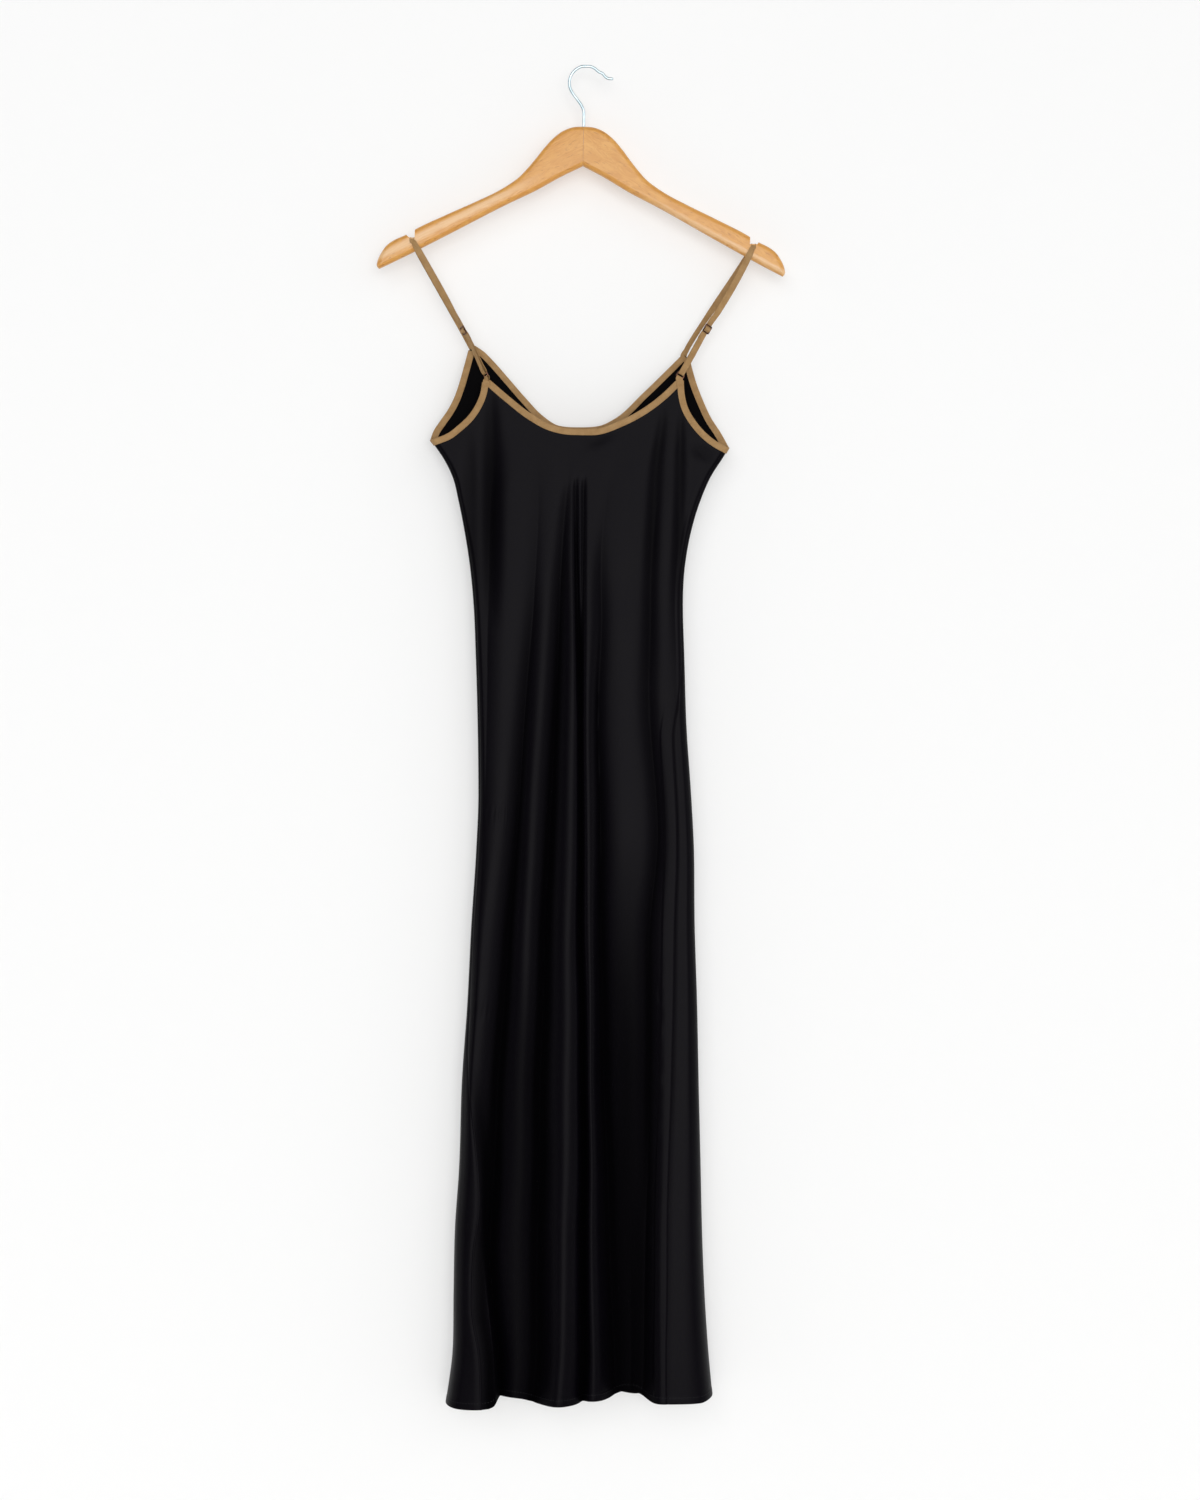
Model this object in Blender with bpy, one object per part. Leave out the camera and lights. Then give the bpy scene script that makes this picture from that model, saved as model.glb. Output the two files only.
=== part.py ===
"""A long bias-cut satin slip dress, hung by its straps from a notched wooden hanger.

Sizes are in millimetres until place_mesh() turns them into metres. The origin is the
underside of the hook's bend, where the hanger hangs. +X is to the viewer's right, +Z
is up, and the lower-cut front of the dress faces -Y. The cloth is one closed loop at
each height. A place on the loop is a number: 0 to 1 runs along the front from the
left edge to the right edge, 1 to 2 runs back along the rear, and 2 to 3 is the front
again, so that the back panel can wrap round both edges onto the front.
"""

import math

import bmesh
import bpy
import numpy as np

MM = 0.001
GAP = 0.3  # air between pieces that touch
SEAM_GAP = 0.5  # between the two panels
PANEL_WALL = 1.2
TAPE_WALL = 1.0  # bindings, straps and ring tabs

# Hanger, in its own upright frame: distance out from the joint, height
LEAN = math.radians(1.1)  # the hanger hangs a little low on its right
JOINT_X = -2.4  # the joint and the hook's shank beside the hanging point
ARM_THICK = 12.0
ARM_ROUNDING = 3.0
ARM_TOP = (
    (0, -64.5), (12, -65.5), (22, -69.5), (32, -77), (42, -88), (52, -101), (61, -112), (70, -121.5),
    (80, -129), (93, -137), (114, -147.5), (146, -162.5), (181.5, -180),
)
ARM_NOTCH = ((185.3, -189.4), (190, -189.5), (191.5, -186.5))
ARM_END = ((204, -192), (211, -197), (217, -205), (221.5, -215), (222.3, -220), (219.5, -223.3))
ARM_UNDERSIDE = ((195, -211), (145, -184.5), (80, -149.5), (50, -134.5), (24, -119.5), (0, -107.3))
NOTCH_CENTRE = 187.6
LEFT_NOTCH_IN = 3.0  # the left notch lies this much nearer the joint
LEFT_LIP_RISE = 1.4
NOTCH_FLOOR = -189.45

# Hook
WIRE_RADIUS = 1.6
HOOK_RADIUS = 18.3
HOOK_CENTRE_X = -0.6
HOOK_SWEEP = (198, 42)  # degrees, from the neck over the top to the tip
HOOK_NECK = (
    (JOINT_X, -84), (JOINT_X, -70), (JOINT_X, -57), (-2.6, -48.5), (-5.4, -41.2), (-10.6, -34), (-15.2, -28),
)
HOOK_TIP = ((16.8, -6), (19.9, -9.4), (23.3, -11.5), (27.4, -11.8))
SHANK_DEPTH = 22.0  # how far the shank goes into the wood
HOOK_STEPS = 44
HOOK_BEND_POINTS = 9
HOLE_TOP = -40.0  # the shank's hole is cut from here down

# Side edges of the dress: height, left x, right x
SIDES = (
    (-385, -180.0, 167.0),
    (-395, -176.3, 163.4),
    (-405, -170.8, 159.2),
    (-413, -164.6, 154.9),
    (-421, -159.0, 150.2),
    (-445, -146.5, 134.9),
    (-470, -140.2, 124.0),
    (-500, -134.2, 114.6),
    (-540, -127.8, 107.0),
    (-585, -123.5, 104.5),
    (-640, -121.2, 106.0),
    (-720, -119.0, 108.5),
    (-790, -118.3, 113.3),
    (-850, -120.6, 116.4),
    (-930, -125.8, 117.2),
    (-1020, -130.4, 119.9),
    (-1100, -136.0, 121.5),
    (-1200, -139.4, 123.8),
    (-1260, -143.6, 125.1),
    (-1330, -145.2, 127.8),
    (-1390, -146.0, 131.6),
    (-1460, -154.9, 138.0),
)

# Side seams, as shares of the way across the front: they turn onto it lower down
# Height, left %, right %
SEAMS = (
    (-400, 0.8, 99.2),
    (-640, 0.8, 99.0),
    (-690, 0.8, 96.5),
    (-730, 0.8, 93.4),
    (-819, 0.8, 92.8),
    (-949, 0.9, 91.0),
    (-1040, 1.2, 89.6),
    (-1123, 3.8, 88.4),
    (-1178, 6.8, 87.2),
    (-1240, 9.3, 86.3),
    (-1286, 7.6, 85.9),
    (-1341, 7.2, 85.0),
    (-1395, 10.3, 83.6),
    (-1455, 13.4, 82.5),
)

# Folds. "across" is the share of the width, in %, at ACROSS_HEIGHTS; "out" is how far the
# cloth stands out from the plane of the side edges, in mm, at OUT_HEIGHTS.
# Name, across, out
ACROSS_HEIGHTS = (-400, -470, -579, -688, -819, -949, -1080, -1276, -1455)
OUT_HEIGHTS = (-400, -560, -760, -1080, -1455)
FRONT_FOLDS = (
    ("left edge", (0, 0, 0, 0, 0, 0, 0, 0, 0), (7, 9, 10, 15, 28)),
    ("strap valley", (17.8, 13, 7, 5, 3, 1.8, 1.4, 2, 3), (8, 8, 9, 13, 32)),
    ("side ridge", (20.6, 21.5, 16.5, 13, 9.5, 6, 5, 11.5, 18.8), (8.5, 13, 14, 21, 40)),
    ("side valley", (33, 33, 29, 23.5, 19, 17, 15.5, 14.5, 20.6), (8.5, 10.5, 10, 10, 13)),
    ("left ridge", (40, 39.5, 35, 30.5, 25, 25, 25, 25, 25.5), (8.5, 12.5, 15, 20, 22)),
    ("left valley", (45, 44.5, 41.5, 38, 34, 33, 33, 33.5, 32.5), (8, 10.5, 9.5, 10, 16)),
    ("near ridge", (47.3, 47, 47, 45.5, 43, 43, 44, 44, 42), (8, 14, 19, 26, 40)),
    ("centre groove", (49.3, 49.3, 50, 49.5, 48, 49, 51, 52, 51), (7.8, 11, 12, 14, 22)),
    ("centre ridge", (53, 53.5, 54.5, 53, 51.5, 53, 54, 55, 55), (8, 14.5, 19, 26, 34)),
    ("right valley", (60, 61, 61, 58, 57, 58, 59.5, 62.5, 63.5), (8.5, 11, 10, 9, 12)),
    ("flat ridge", (70, 70, 70, 70, 68, 69.5, 71, 71, 69), (8.5, 12.5, 14, 16, 14)),
    ("seam valley", (81, 82, 85.5, 84, 84, 79.5, 79, 77, 73.5), (8.5, 10, 10, 11, 20)),
    ("seam ridge", (84.6, 88, 91, 88, 89, 87, 86.3, 83.5, 80.5), (8.5, 11, 13, 18, 37)),
    ("right flap", (96, 96, 96, 96, 96.5, 95.5, 93.5, 91, 88), (7.5, 9, 12, 18, 36)),
    ("right edge", (100,) * 9, (7, 8, 10, 14, 26)),
)
BACK_FOLDS = (
    ("left edge", (0,) * 9, (6, 7, 7, 7, 7)),
    ("left side ridge", (14, 13, 11, 10, 9, 9, 10, 11, 12), (7, 9, 10, 13, 17)),
    ("left side valley", (24, 25, 23, 21, 19, 19, 20, 21, 22), (8, 7, 6, 4, 4)),
    ("left ridge", (34, 36, 35, 33, 31, 30, 31, 32, 33), (8, 10, 11, 15, 19)),
    ("left valley", (42, 44, 44, 43, 41, 41, 42, 42, 43), (8, 7, 6, 4, 3)),
    ("centre ridge", (50, 50, 50, 51, 52, 52, 52, 53, 53), (8, 10, 12, 16, 20)),
    ("right valley", (57, 57, 57, 58, 60, 61, 61, 62, 61), (8, 7, 6, 4, 4)),
    ("right ridge", (66, 66, 67, 68, 70, 71, 70, 70, 71), (8, 10, 11, 14, 18)),
    ("right side valley", (78, 77, 77, 78, 80, 80, 79, 79, 80), (8, 7, 6, 5, 4)),
    ("right side ridge", (87, 88, 89, 90, 91, 91, 90, 89, 89), (7, 8, 9, 12, 15)),
    ("right edge", (100,) * 9, (6, 7, 7, 7, 7)),
)
EDGE_TURN = (6.5, 7, 8, 11, 14)  # how far in from an edge the cloth turns round, at OUT_HEIGHTS

# Hem: share of the width in %, height
FRONT_HEM = (
    (0, -1451.5), (8, -1453.5), (14, -1453), (18, -1450), (20.6, -1442.5), (28, -1444.5), (34, -1449.5),
    (42, -1450), (49, -1448), (51.5, -1446), (60, -1444), (66.5, -1437.5), (70, -1437.5), (78, -1447),
    (86, -1447.5), (95, -1447), (100, -1443.5),
)
BACK_HEM = (
    (0, -1451.5), (12, -1446), (22, -1441), (33, -1447), (43, -1440.5), (53, -1447), (61, -1440),
    (71, -1446), (80, -1440.5), (89, -1445), (100, -1443.5),
)

# Finished top edges, x and height, each from the left; a peak is where a strap is held
FRONT_LEFT_ARMHOLE = (
    (-163, -403.2), (-151.3, -398.5), (-140.6, -390.4), (-129.7, -380.2), (-120.7, -367), (-115.6, -354),
    (-113.9, -343),
)
FRONT_NECK = (
    (-105.4, -340.5), (-84.6, -358.4), (-59.4, -377.9), (-39.5, -388.7), (-18, -393.2), (6, -393.6),
    (37.3, -384), (60.8, -371.4), (80, -357.1), (96.8, -341),
)
FRONT_RIGHT_ARMHOLE = (
    (105.2, -341.5), (105.6, -352), (109.8, -371), (118.6, -386), (129.4, -398.3), (143.8, -409),
)
BACK_LEFT_ARMHOLE = (
    (-167.4, -395), (-160.2, -384), (-151.3, -371), (-145.6, -360), (-140.4, -346), (-134.6, -326),
    (-129.4, -306.6),
)
BACK_NECK = (
    (-121.8, -301.8), (-112.6, -308), (-102.7, -317.8), (-84.6, -338.3), (-66.6, -359), (-48.5, -377.8),
    (-32, -388.4), (-8, -390.6), (14, -388.9), (30, -381.4), (60.8, -353.6), (88, -327.1), (104.2, -311),
)
BACK_RIGHT_ARMHOLE = (
    (112, -315.6), (115, -328), (120.4, -346), (127.6, -364), (135, -380), (145.6, -396.5),
)
LEFT_UNDERARM_HEIGHT = -404.9
RIGHT_UNDERARM_HEIGHT = -413.2
UNDERARM_SEAM_IN = 2.6  # from the side edge to the seam on the front

# Grid of each panel: steps between neighbouring fold lines, and steps along the top edge
FRONT_GUIDES = (
    "side valley", "left ridge", "left valley", "near ridge", "centre groove", "centre ridge", "right valley",
    "flat ridge", "seam valley", "seam ridge",
)
FRONT_FOLD_STEPS = (6, 3, 4, 4, 3, 3, 3, 3, 3, 3, 3)
FRONT_ARMHOLE_SHARES = (0, 0.02, 0.055, 0.11, 0.2, 0.34, 0.5, 0.67, 0.84, 1)  # from the seam up
FRONT_NECK_STEPS = 18
BACK_FOLD_STEPS = (6, 3, 3, 3, 3, 3, 3, 3, 3, 6)
BACK_ARMHOLE_SHARES = (0, 0.006, 0.02, 0.043, 0.085, 0.18, 0.34, 0.54, 0.77, 1)
BACK_NECK_STEPS = 16
WRAP_SHARES = (0, 0.42, 0.76, 0.94, 1)  # from a seam on the front to the edge
TURN_SHARES = (0, 0.03, 0.115, 0.25, 0.48, 0.74, 1)  # from an edge to the first rear fold
ROWS = 22
ROW_CROWDING = 1.35  # over 1 brings the rows together near the top
FIRST_ROWS = (3, 6, 9.5, 16)  # below the top edge, under the binding
FOLDS_START = 190  # below the top edge the columns have moved onto the fold lines

# Bindings, straps and metal
BINDING_WIDTH = 5.6
BINDING_GAP = 0.6
ARMHOLE_LEAF_STEPS = 3  # facets across each leaf of the folded tape
NECK_LEAF_STEPS = 1
STRIDES = 4  # shorter steps that each facet is walked in
LEAST_STATION = 1.2  # between two rings of an armhole binding
LEAST_STEP = 0.4  # of a column, between a neck binding's cut end and its next ring
CUT_AIR = GAP + 0.5  # between a neck binding's cut end and the armhole binding
FINE_STEPS = 600
HEM_LEVEL = -1446.0  # where the columns' shares are read for the hem
STRAP_WIDTH = 8.2
NOTCH_STRAP_WIDTH = 4.2
RING_STRAP_WIDTH = 7.0
RING_OUTER = (10.8, 7.4)  # width and height
SLIDER_OUTER = (11.8, 10.4)
METAL_RADIUS = 0.7
METAL_CORNER = 0.9
# Ring x, ring height, ring turn, slider x, slider height, slider turn; turns in degrees about the strap
LEFT_STRAP = (-109.9, -335.4, 35, -135.0, -287.2, 58)
RIGHT_STRAP = (101.3, -336.0, -8, 129.6, -284.4, -14)
FRONT_STRAP_Y = -9.2
HANGER_STRAP_Y = ARM_THICK / 2 + GAP + TAPE_WALL / 2 + 0.2
HAIR = 0.05  # extra air where a tape bends in flat facets
LEG_DROP = 9.0  # below the notch the strap's two legs hang straight
REAR_LEG_SHARES = (0, 0.04, 0.3, 0.6, 0.8, 0.92)
FRONT_LEG_SHARES = (0.1, 0.25, 0.5, 0.75, 0.9)
NOTCH_BEND = (-20, 0, 30, 60, 90)  # degrees round each edge of the notch
ABOVE_SLIDER = 9.0
SLIDER_STATIONS = (6.6, 5.4, 4.3, 3.2, 2.2, 1.2, 0, -1.2, -2.2, -3.2, -4.3, -5.6, -7.2)
# Of the sewn end: height on the slider, share of the way out to the rear layer
SEWN_END = ((-4.3, 1.0), (-2.2, 0.5), (-0.6, 0.0), (1.2, 0.0))
SEWN_END_NARROWER = 0.6
LOOP_SHARES = (0.25, 0.5, 0.75)
RING_BEND = (0, 30, 60, 90, 120, 150, 180)
STRAP_FOOT_RISE = math.radians(60)  # the way a strap leaves the back's peak
STRAP_FOOT_CLEAR = 0.6
TAB_LOOP_AIR = 0.3
TAB_LEAF_AIR = 0.4
TAB_LEAF_SHARES = (0, 0.5, 0.75)  # up a leaf; the binding's lip is at TAB_LIP_SHARE
TAB_LIP_SHARE = 0.75
TAB_REACH = 7.5  # of a leaf below the peak
TAB_STRAIGHT = 1.4  # each leaf runs straight below the ring's bar

# Colour, roughness, metallic
FINISHES = {
    "black_satin": ((0.010, 0.010, 0.012), 0.42, 0.0),
    "bronze_satin": ((0.25, 0.15, 0.065), 0.5, 0.0),
    "beech": ((0.74, 0.43, 0.18), 0.4, 0.0),
    "steel_wire": ((0.62, 0.68, 0.72), 0.28, 1.0),
    "bronze_metal": ((0.16, 0.08, 0.05), 0.35, 1.0),
}


def clear_scene():
    for thing in list(bpy.data.objects):
        bpy.data.objects.remove(thing, do_unlink=True)


def finish(name):
    """The named material, made once."""
    if name in bpy.data.materials:
        return bpy.data.materials[name]
    colour, roughness, metallic = FINISHES[name]
    material = bpy.data.materials.new(name)
    material.use_nodes = True
    shader = material.node_tree.nodes["Principled BSDF"]
    shader.inputs["Base Color"].default_value = (*colour, 1)
    shader.inputs["Roughness"].default_value = roughness
    shader.inputs["Metallic"].default_value = metallic
    return material


def place_mesh(name, points, faces, material, smooth=True):
    """A mesh object from points in mm, with every face turned outwards."""
    mesh = bpy.data.meshes.new(name)
    mesh.from_pydata([tuple(p) for p in np.asarray(points) * MM], [], [list(map(int, f)) for f in faces])
    shape = bmesh.new()
    shape.from_mesh(mesh)
    bmesh.ops.recalc_face_normals(shape, faces=shape.faces)
    shape.to_mesh(mesh)
    shape.free()
    if smooth:
        mesh.shade_smooth()
        mesh.set_sharp_from_angle(angle=math.radians(40))
    mesh.materials.append(finish(material))
    thing = bpy.data.objects.new(name, mesh)
    bpy.context.collection.objects.link(thing)
    return thing


def cubic(x, heights, values):
    """A smooth curve through values at falling heights, with no overshoot, level beyond both ends."""
    xs = -np.asarray(heights, float)
    ys = np.asarray(values, float)
    x = np.clip(-np.asarray(x, float), xs[0], xs[-1])
    i = np.clip(np.searchsorted(xs, x, side="right") - 1, 0, len(xs) - 2)
    secant = np.diff(ys) / np.diff(xs)
    slope = np.gradient(ys, xs)
    before, after = np.append(secant[0], secant), np.append(secant, secant[-1])
    limit = np.where(before * after > 0, 3 * np.minimum(abs(before), abs(after)), 0)
    slope = np.clip(slope, -limit, limit)
    step = xs[i + 1] - xs[i]
    t = (x - xs[i]) / step
    return (
        (1 + 2 * t) * (1 - t) ** 2 * ys[i]
        + t * (1 - t) ** 2 * step * slope[i]
        + t * t * (3 - 2 * t) * ys[i + 1]
        + t * t * (t - 1) * step * slope[i + 1]
    )


def curve_through(points, shares):
    """Points of a smooth curve through the given ones, at shares of its length."""
    points = np.asarray(points, float)
    along = np.concatenate([[0], np.cumsum(np.linalg.norm(np.diff(points, axis=0), axis=1))])
    fine = np.linspace(0, along[-1], 400)
    dense = np.stack([cubic(-fine, -along, column) for column in points.T], axis=1)
    length = np.concatenate([[0], np.cumsum(np.linalg.norm(np.diff(dense, axis=0), axis=1))])
    return np.stack([np.interp(shares * length[-1], length, column) for column in dense.T], axis=1)


def ease(t):
    return 0.5 - 0.5 * np.cos(np.pi * np.clip(t, 0, 1))


# The body of the dress


def fold_share(folds, name, z):
    across = next(row[1] for row in folds if row[0] == name)
    return cubic(z, ACROSS_HEIGHTS, across) / 100


def stand_out(folds, share, z):
    """How far the cloth stands out: it eases from each fold line to the next."""
    lines = [(cubic(z, ACROSS_HEIGHTS, row[1]) / 100, cubic(z, OUT_HEIGHTS, row[2])) for row in folds]
    out = lines[0][1]
    for (here, low), (there, high) in zip(lines, lines[1:]):
        out = out + (high - low) * ease((share - here) / (there - here))
    return out


def side_x(z, side):
    column = {"left": 1, "right": 2}[side]
    return cubic(z, [row[0] for row in SIDES], [row[column] for row in SIDES])


def seam_share(z, side):
    column = {"left": 1, "right": 2}[side]
    return cubic(z, [row[0] for row in SEAMS], [row[column] for row in SEAMS]) / 100


def cloth_point(place, z):
    """The outer face of the cloth at a place on the loop and a height."""
    place, z = np.broadcast_arrays(np.asarray(place, float), np.asarray(z, float))
    rear = (place > 1) & (place < 2)
    share = np.where(place > 2, place - 2, np.where(place > 1, 2 - place, place))
    share = np.abs(share)
    left = side_x(z, "left")
    width = side_x(z, "right") - left
    inward = np.minimum(share, 1 - share) * width / cubic(z, OUT_HEIGHTS, EDGE_TURN)
    turn = np.sqrt(1 - (1 - np.clip(inward, 0, 1)) ** 2)
    y = np.where(rear, stand_out(BACK_FOLDS, share, z), -stand_out(FRONT_FOLDS, share, z))
    return np.stack([left + share * width, y * turn, z], axis=-1)


def cloth_slopes(place, z):
    """How the point moves with the place and with the height."""
    by_place = 0.0012
    by_height = 1.0
    along = (cloth_point(place + by_place, z) - cloth_point(place - by_place, z)) / (2 * by_place)
    up = (cloth_point(place, z + by_height) - cloth_point(place, z - by_height)) / (2 * by_height)
    return along, up


def cloth_normal(place, z):
    along, up = cloth_slopes(place, z)
    normal = np.cross(along, up)
    return normal / np.linalg.norm(normal, axis=-1, keepdims=True)


def share_at(x, z):
    left = side_x(z, "left")
    return (x - left) / (side_x(z, "right") - left)


def pull_in(edge):
    """The cloth's own edge, under the binding that wraps the finished edge."""
    edge = np.asarray(edge, float)
    along = np.gradient(edge, axis=0)
    along /= np.linalg.norm(along, axis=1, keepdims=True)
    return edge + (BINDING_GAP + TAPE_WALL) * np.stack([along[:, 1], -along[:, 0]], axis=1)


def top_edge(armhole_a, neck, armhole_b, start, end, armhole_shares, neck_steps):
    """Points along a panel's top from its left, and the first and last index of each of the three curves."""
    shares = np.array(armhole_shares)
    first = pull_in(curve_through([start, *armhole_a], shares))
    first[0] = start[0], start[1] - BINDING_GAP - TAPE_WALL
    middle = pull_in(curve_through(neck, np.linspace(0, 1, neck_steps + 1)))
    last = pull_in(curve_through([*armhole_b, end], 1 - shares[::-1]))
    last[-1] = end[0], end[1] - BINDING_GAP - TAPE_WALL
    curves = [first, middle, last]
    starts = np.cumsum([0] + [len(curve) for curve in curves])
    corners = [index for k in range(3) for index in (starts[k], starts[k + 1] - 1)]
    return np.concatenate(curves), corners


def hem_height(table, share):
    across = [row[0] / 100 for row in table]
    heights = [row[1] for row in table]
    return cubic(-share, [-a for a in across], heights)


def between(lines, steps, z):
    """Places of the columns at a height: each pair of lines is split into its number of steps."""
    places = [np.broadcast_to(lines[0], z.shape)]
    for here, there, count in zip(lines, lines[1:], steps):
        places += [here + (there - here) * k / count for k in range(1, count + 1)]
    return places


def panel_rows(top, hem):
    """Heights of the rows of each column, from the hem up."""
    shares = 1 - (1 - np.linspace(0, 1, ROWS - 1)[:-1]) ** ROW_CROWDING
    lowest_bound = top - FIRST_ROWS[-1]
    rows = [hem + (lowest_bound - hem) * s for s in shares]
    rows += [top - drop for drop in reversed(FIRST_ROWS)] + [top]
    return np.array(rows)


def front_columns(z):
    """Places of the front panel's columns at the heights z, one array for each column."""
    lines = [seam_share(z, "left")]
    lines += [fold_share(FRONT_FOLDS, name, z) for name in FRONT_GUIDES]
    lines.append(seam_share(z, "right"))
    return between(lines, FRONT_FOLD_STEPS, z)


def back_columns(z):
    """Places of the back panel's columns: front strip, right edge, rear, left edge, front strip."""
    right = seam_share(z, "right")
    left = seam_share(z, "left")
    places = [right + (1 - right) * s for s in WRAP_SHARES]
    lines = [2 - fold_share(BACK_FOLDS, row[0], z) for row in reversed(BACK_FOLDS)]
    rear = between(lines, BACK_FOLD_STEPS, z)
    near, far = TURN_SHARES, [1 - s for s in reversed(TURN_SHARES)]
    steps = len(TURN_SHARES) - 1
    for k in range(1, steps):
        rear[k] = rear[0] + (rear[steps] - rear[0]) * near[k]
        rear[k - steps - 1] = rear[-steps - 1] + (rear[-1] - rear[-steps - 1]) * far[k]
    places += rear[1:]
    places += [2 + left * (1 - s) for s in list(reversed(WRAP_SHARES))[1:]]
    return places


def panel_grid(top_places, top_heights, hem_heights, columns_at, gap_sides):
    """Place and height of each grid point, with half the seam gap left at both sides."""
    z = panel_rows(top_heights, hem_heights)
    place = np.empty_like(z)
    for j in range(z.shape[1]):
        low = columns_at(z[:, j])[j]
        place[:, j] = top_places[j] + (low - top_places[j]) * ease((top_heights[j] - z[:, j]) / FOLDS_START)
    width = side_x(z[:, 0], "right") - side_x(z[:, 0], "left")
    place[:, 0] += gap_sides / width
    place[:, -1] -= gap_sides / width
    return place, z


def wall_mesh(name, place, z, material):
    """A closed wall: the outer grid, the same grid moved in, and a rim round both."""
    outer = cloth_point(place, z)
    inner = outer - PANEL_WALL * cloth_normal(place, z)
    rows, columns = z.shape
    points = np.concatenate([outer.reshape(-1, 3), inner.reshape(-1, 3)])
    index = np.arange(rows * columns).reshape(rows, columns)
    quads = np.stack([index[:-1, :-1], index[:-1, 1:], index[1:, 1:], index[1:, :-1]], axis=-1).reshape(-1, 4)
    rim = np.concatenate([index[0, :-1], index[:-1, -1], index[-1, :0:-1], index[:0:-1, 0]])
    following = np.roll(rim, -1)
    under = rows * columns
    sides = np.stack([rim, rim + under, following + under, following], axis=-1)
    faces = np.concatenate([quads, quads[:, ::-1] + under, sides])
    return place_mesh(name, points, faces, material)


def front_edge():
    start = (side_x(LEFT_UNDERARM_HEIGHT, "left") + UNDERARM_SEAM_IN, LEFT_UNDERARM_HEIGHT)
    end = (side_x(RIGHT_UNDERARM_HEIGHT, "right") - UNDERARM_SEAM_IN, RIGHT_UNDERARM_HEIGHT)
    curves = (FRONT_LEFT_ARMHOLE, FRONT_NECK, FRONT_RIGHT_ARMHOLE)
    edge, corners = top_edge(*curves, start, end, FRONT_ARMHOLE_SHARES, FRONT_NECK_STEPS)
    places = share_at(edge[:, 0], edge[:, 1])
    places[0] = seam_share(edge[0, 1], "left")
    places[-1] = seam_share(edge[-1, 1], "right")
    return places, edge[:, 1], corners


def back_edge():
    """From the right seam round to the left seam."""
    start = (side_x(LEFT_UNDERARM_HEIGHT, "left"), LEFT_UNDERARM_HEIGHT)
    end = (side_x(RIGHT_UNDERARM_HEIGHT, "right"), RIGHT_UNDERARM_HEIGHT)
    curves = (BACK_LEFT_ARMHOLE, BACK_NECK, BACK_RIGHT_ARMHOLE)
    edge, corners = top_edge(*curves, start, end, BACK_ARMHOLE_SHARES, BACK_NECK_STEPS)
    share = share_at(edge[:, 0], edge[:, 1])
    share[0] = 0
    share[-1] = 1
    rear = (2 - share)[::-1]
    heights = edge[::-1, 1]
    right = seam_share(heights[0], "right")
    left = seam_share(heights[-1], "left")
    wrap = [right + (1 - right) * s for s in WRAP_SHARES[:-1]]
    unwrap = [2 + left * (1 - s) for s in list(reversed(WRAP_SHARES))[1:]]
    places = np.concatenate([wrap, rear, unwrap])
    heights = np.concatenate([[heights[0]] * len(wrap), heights, [heights[-1]] * len(unwrap)])
    shift = len(wrap)
    last = len(share) - 1
    return places, heights, [shift + last - c for c in reversed(corners)]


def make_panels():
    places, heights, _ = front_edge()
    foot = np.array([c[0] for c in front_columns(np.full(1, HEM_LEVEL))])
    hem = hem_height(FRONT_HEM, foot)
    wall_mesh("front_panel", *panel_grid(places, heights, hem, front_columns, SEAM_GAP / 2), "black_satin")
    places, heights, _ = back_edge()
    foot = np.array([c[0] for c in back_columns(np.full(1, HEM_LEVEL))])
    on_front = (foot < 1) | (foot > 2)
    share = np.where(foot > 2, foot - 2, np.where(foot > 1, 2 - foot, foot))
    hem = np.where(on_front, hem_height(FRONT_HEM, share), hem_height(BACK_HEM, share))
    wall_mesh("back_panel", *panel_grid(places, heights, hem, back_columns, SEAM_GAP / 2), "black_satin")


# Bindings


def walk_down(places, heights, heading, reach, steps):
    """Equal steps down the cloth: places and heights, a row for the edge and one for each step."""
    place, height = np.array(places, float), np.array(heights, float)
    rows = [(place, height)]
    for _ in range(steps * STRIDES):
        along, up = cloth_slopes(place, height)
        along_along, along_up, up_up = (
            np.sum(a * b, axis=1) for a, b in ((along, along), (along, up), (up, up))
        )
        by_along, by_up = np.sum(heading * along, axis=1), np.sum(heading * up, axis=1)
        spread = along_along * up_up - along_up**2
        place_move = (by_along * up_up - by_up * along_up) / spread
        height_move = (by_up * along_along - by_along * along_up) / spread
        heading = along * place_move[:, None] + up * height_move[:, None]
        length = np.linalg.norm(heading, axis=1)
        stride = reach / (steps * STRIDES) / length
        place, height = place + place_move * stride, height + height_move * stride
        heading = heading / length[:, None]
        rows.append((place, height))
    return rows[::STRIDES]


def binding(name, places, heights, leaf_steps, cuts=(None, None)):
    """A tape folded over the cloth's edge. A cut is the direction of a slanted end, from the edge down."""
    on_cloth, normal, run, down = edge_frame(places, heights)
    reach = np.full(len(places), BINDING_WIDTH)
    for k, cut in zip((0, -1), cuts):
        if cut is not None:
            down[k] = unit(cut - normal[k] * np.dot(cut, normal[k]))
            reach[k] = BINDING_WIDTH / np.linalg.norm(np.cross(down[k], run[k]))
    rows = walk_down(places, heights, down, reach, leaf_steps)
    points = [cloth_point(*row) for row in rows]
    normals = [cloth_normal(*row) for row in rows]
    over = BINDING_GAP + TAPE_WALL
    under = PANEL_WALL + BINDING_GAP

    def leaf(offset, first):
        return [first + offset * normal] + [p + offset * n for p, n in zip(points[1:], normals[1:])]

    lip = on_cloth - down * over
    crease = on_cloth - down * BINDING_GAP
    ring = leaf(over, lip)[::-1] + leaf(-under - TAPE_WALL, lip)
    ring += leaf(-under, crease)[::-1] + leaf(BINDING_GAP, crease)
    last = len(ring) - 1
    cap = [(k, k + 1, last - k - 1, last - k) for k in range(len(ring) // 2 - 1)]
    return sweep(name, np.stack(ring, axis=1), cap, "bronze_satin")


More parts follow.
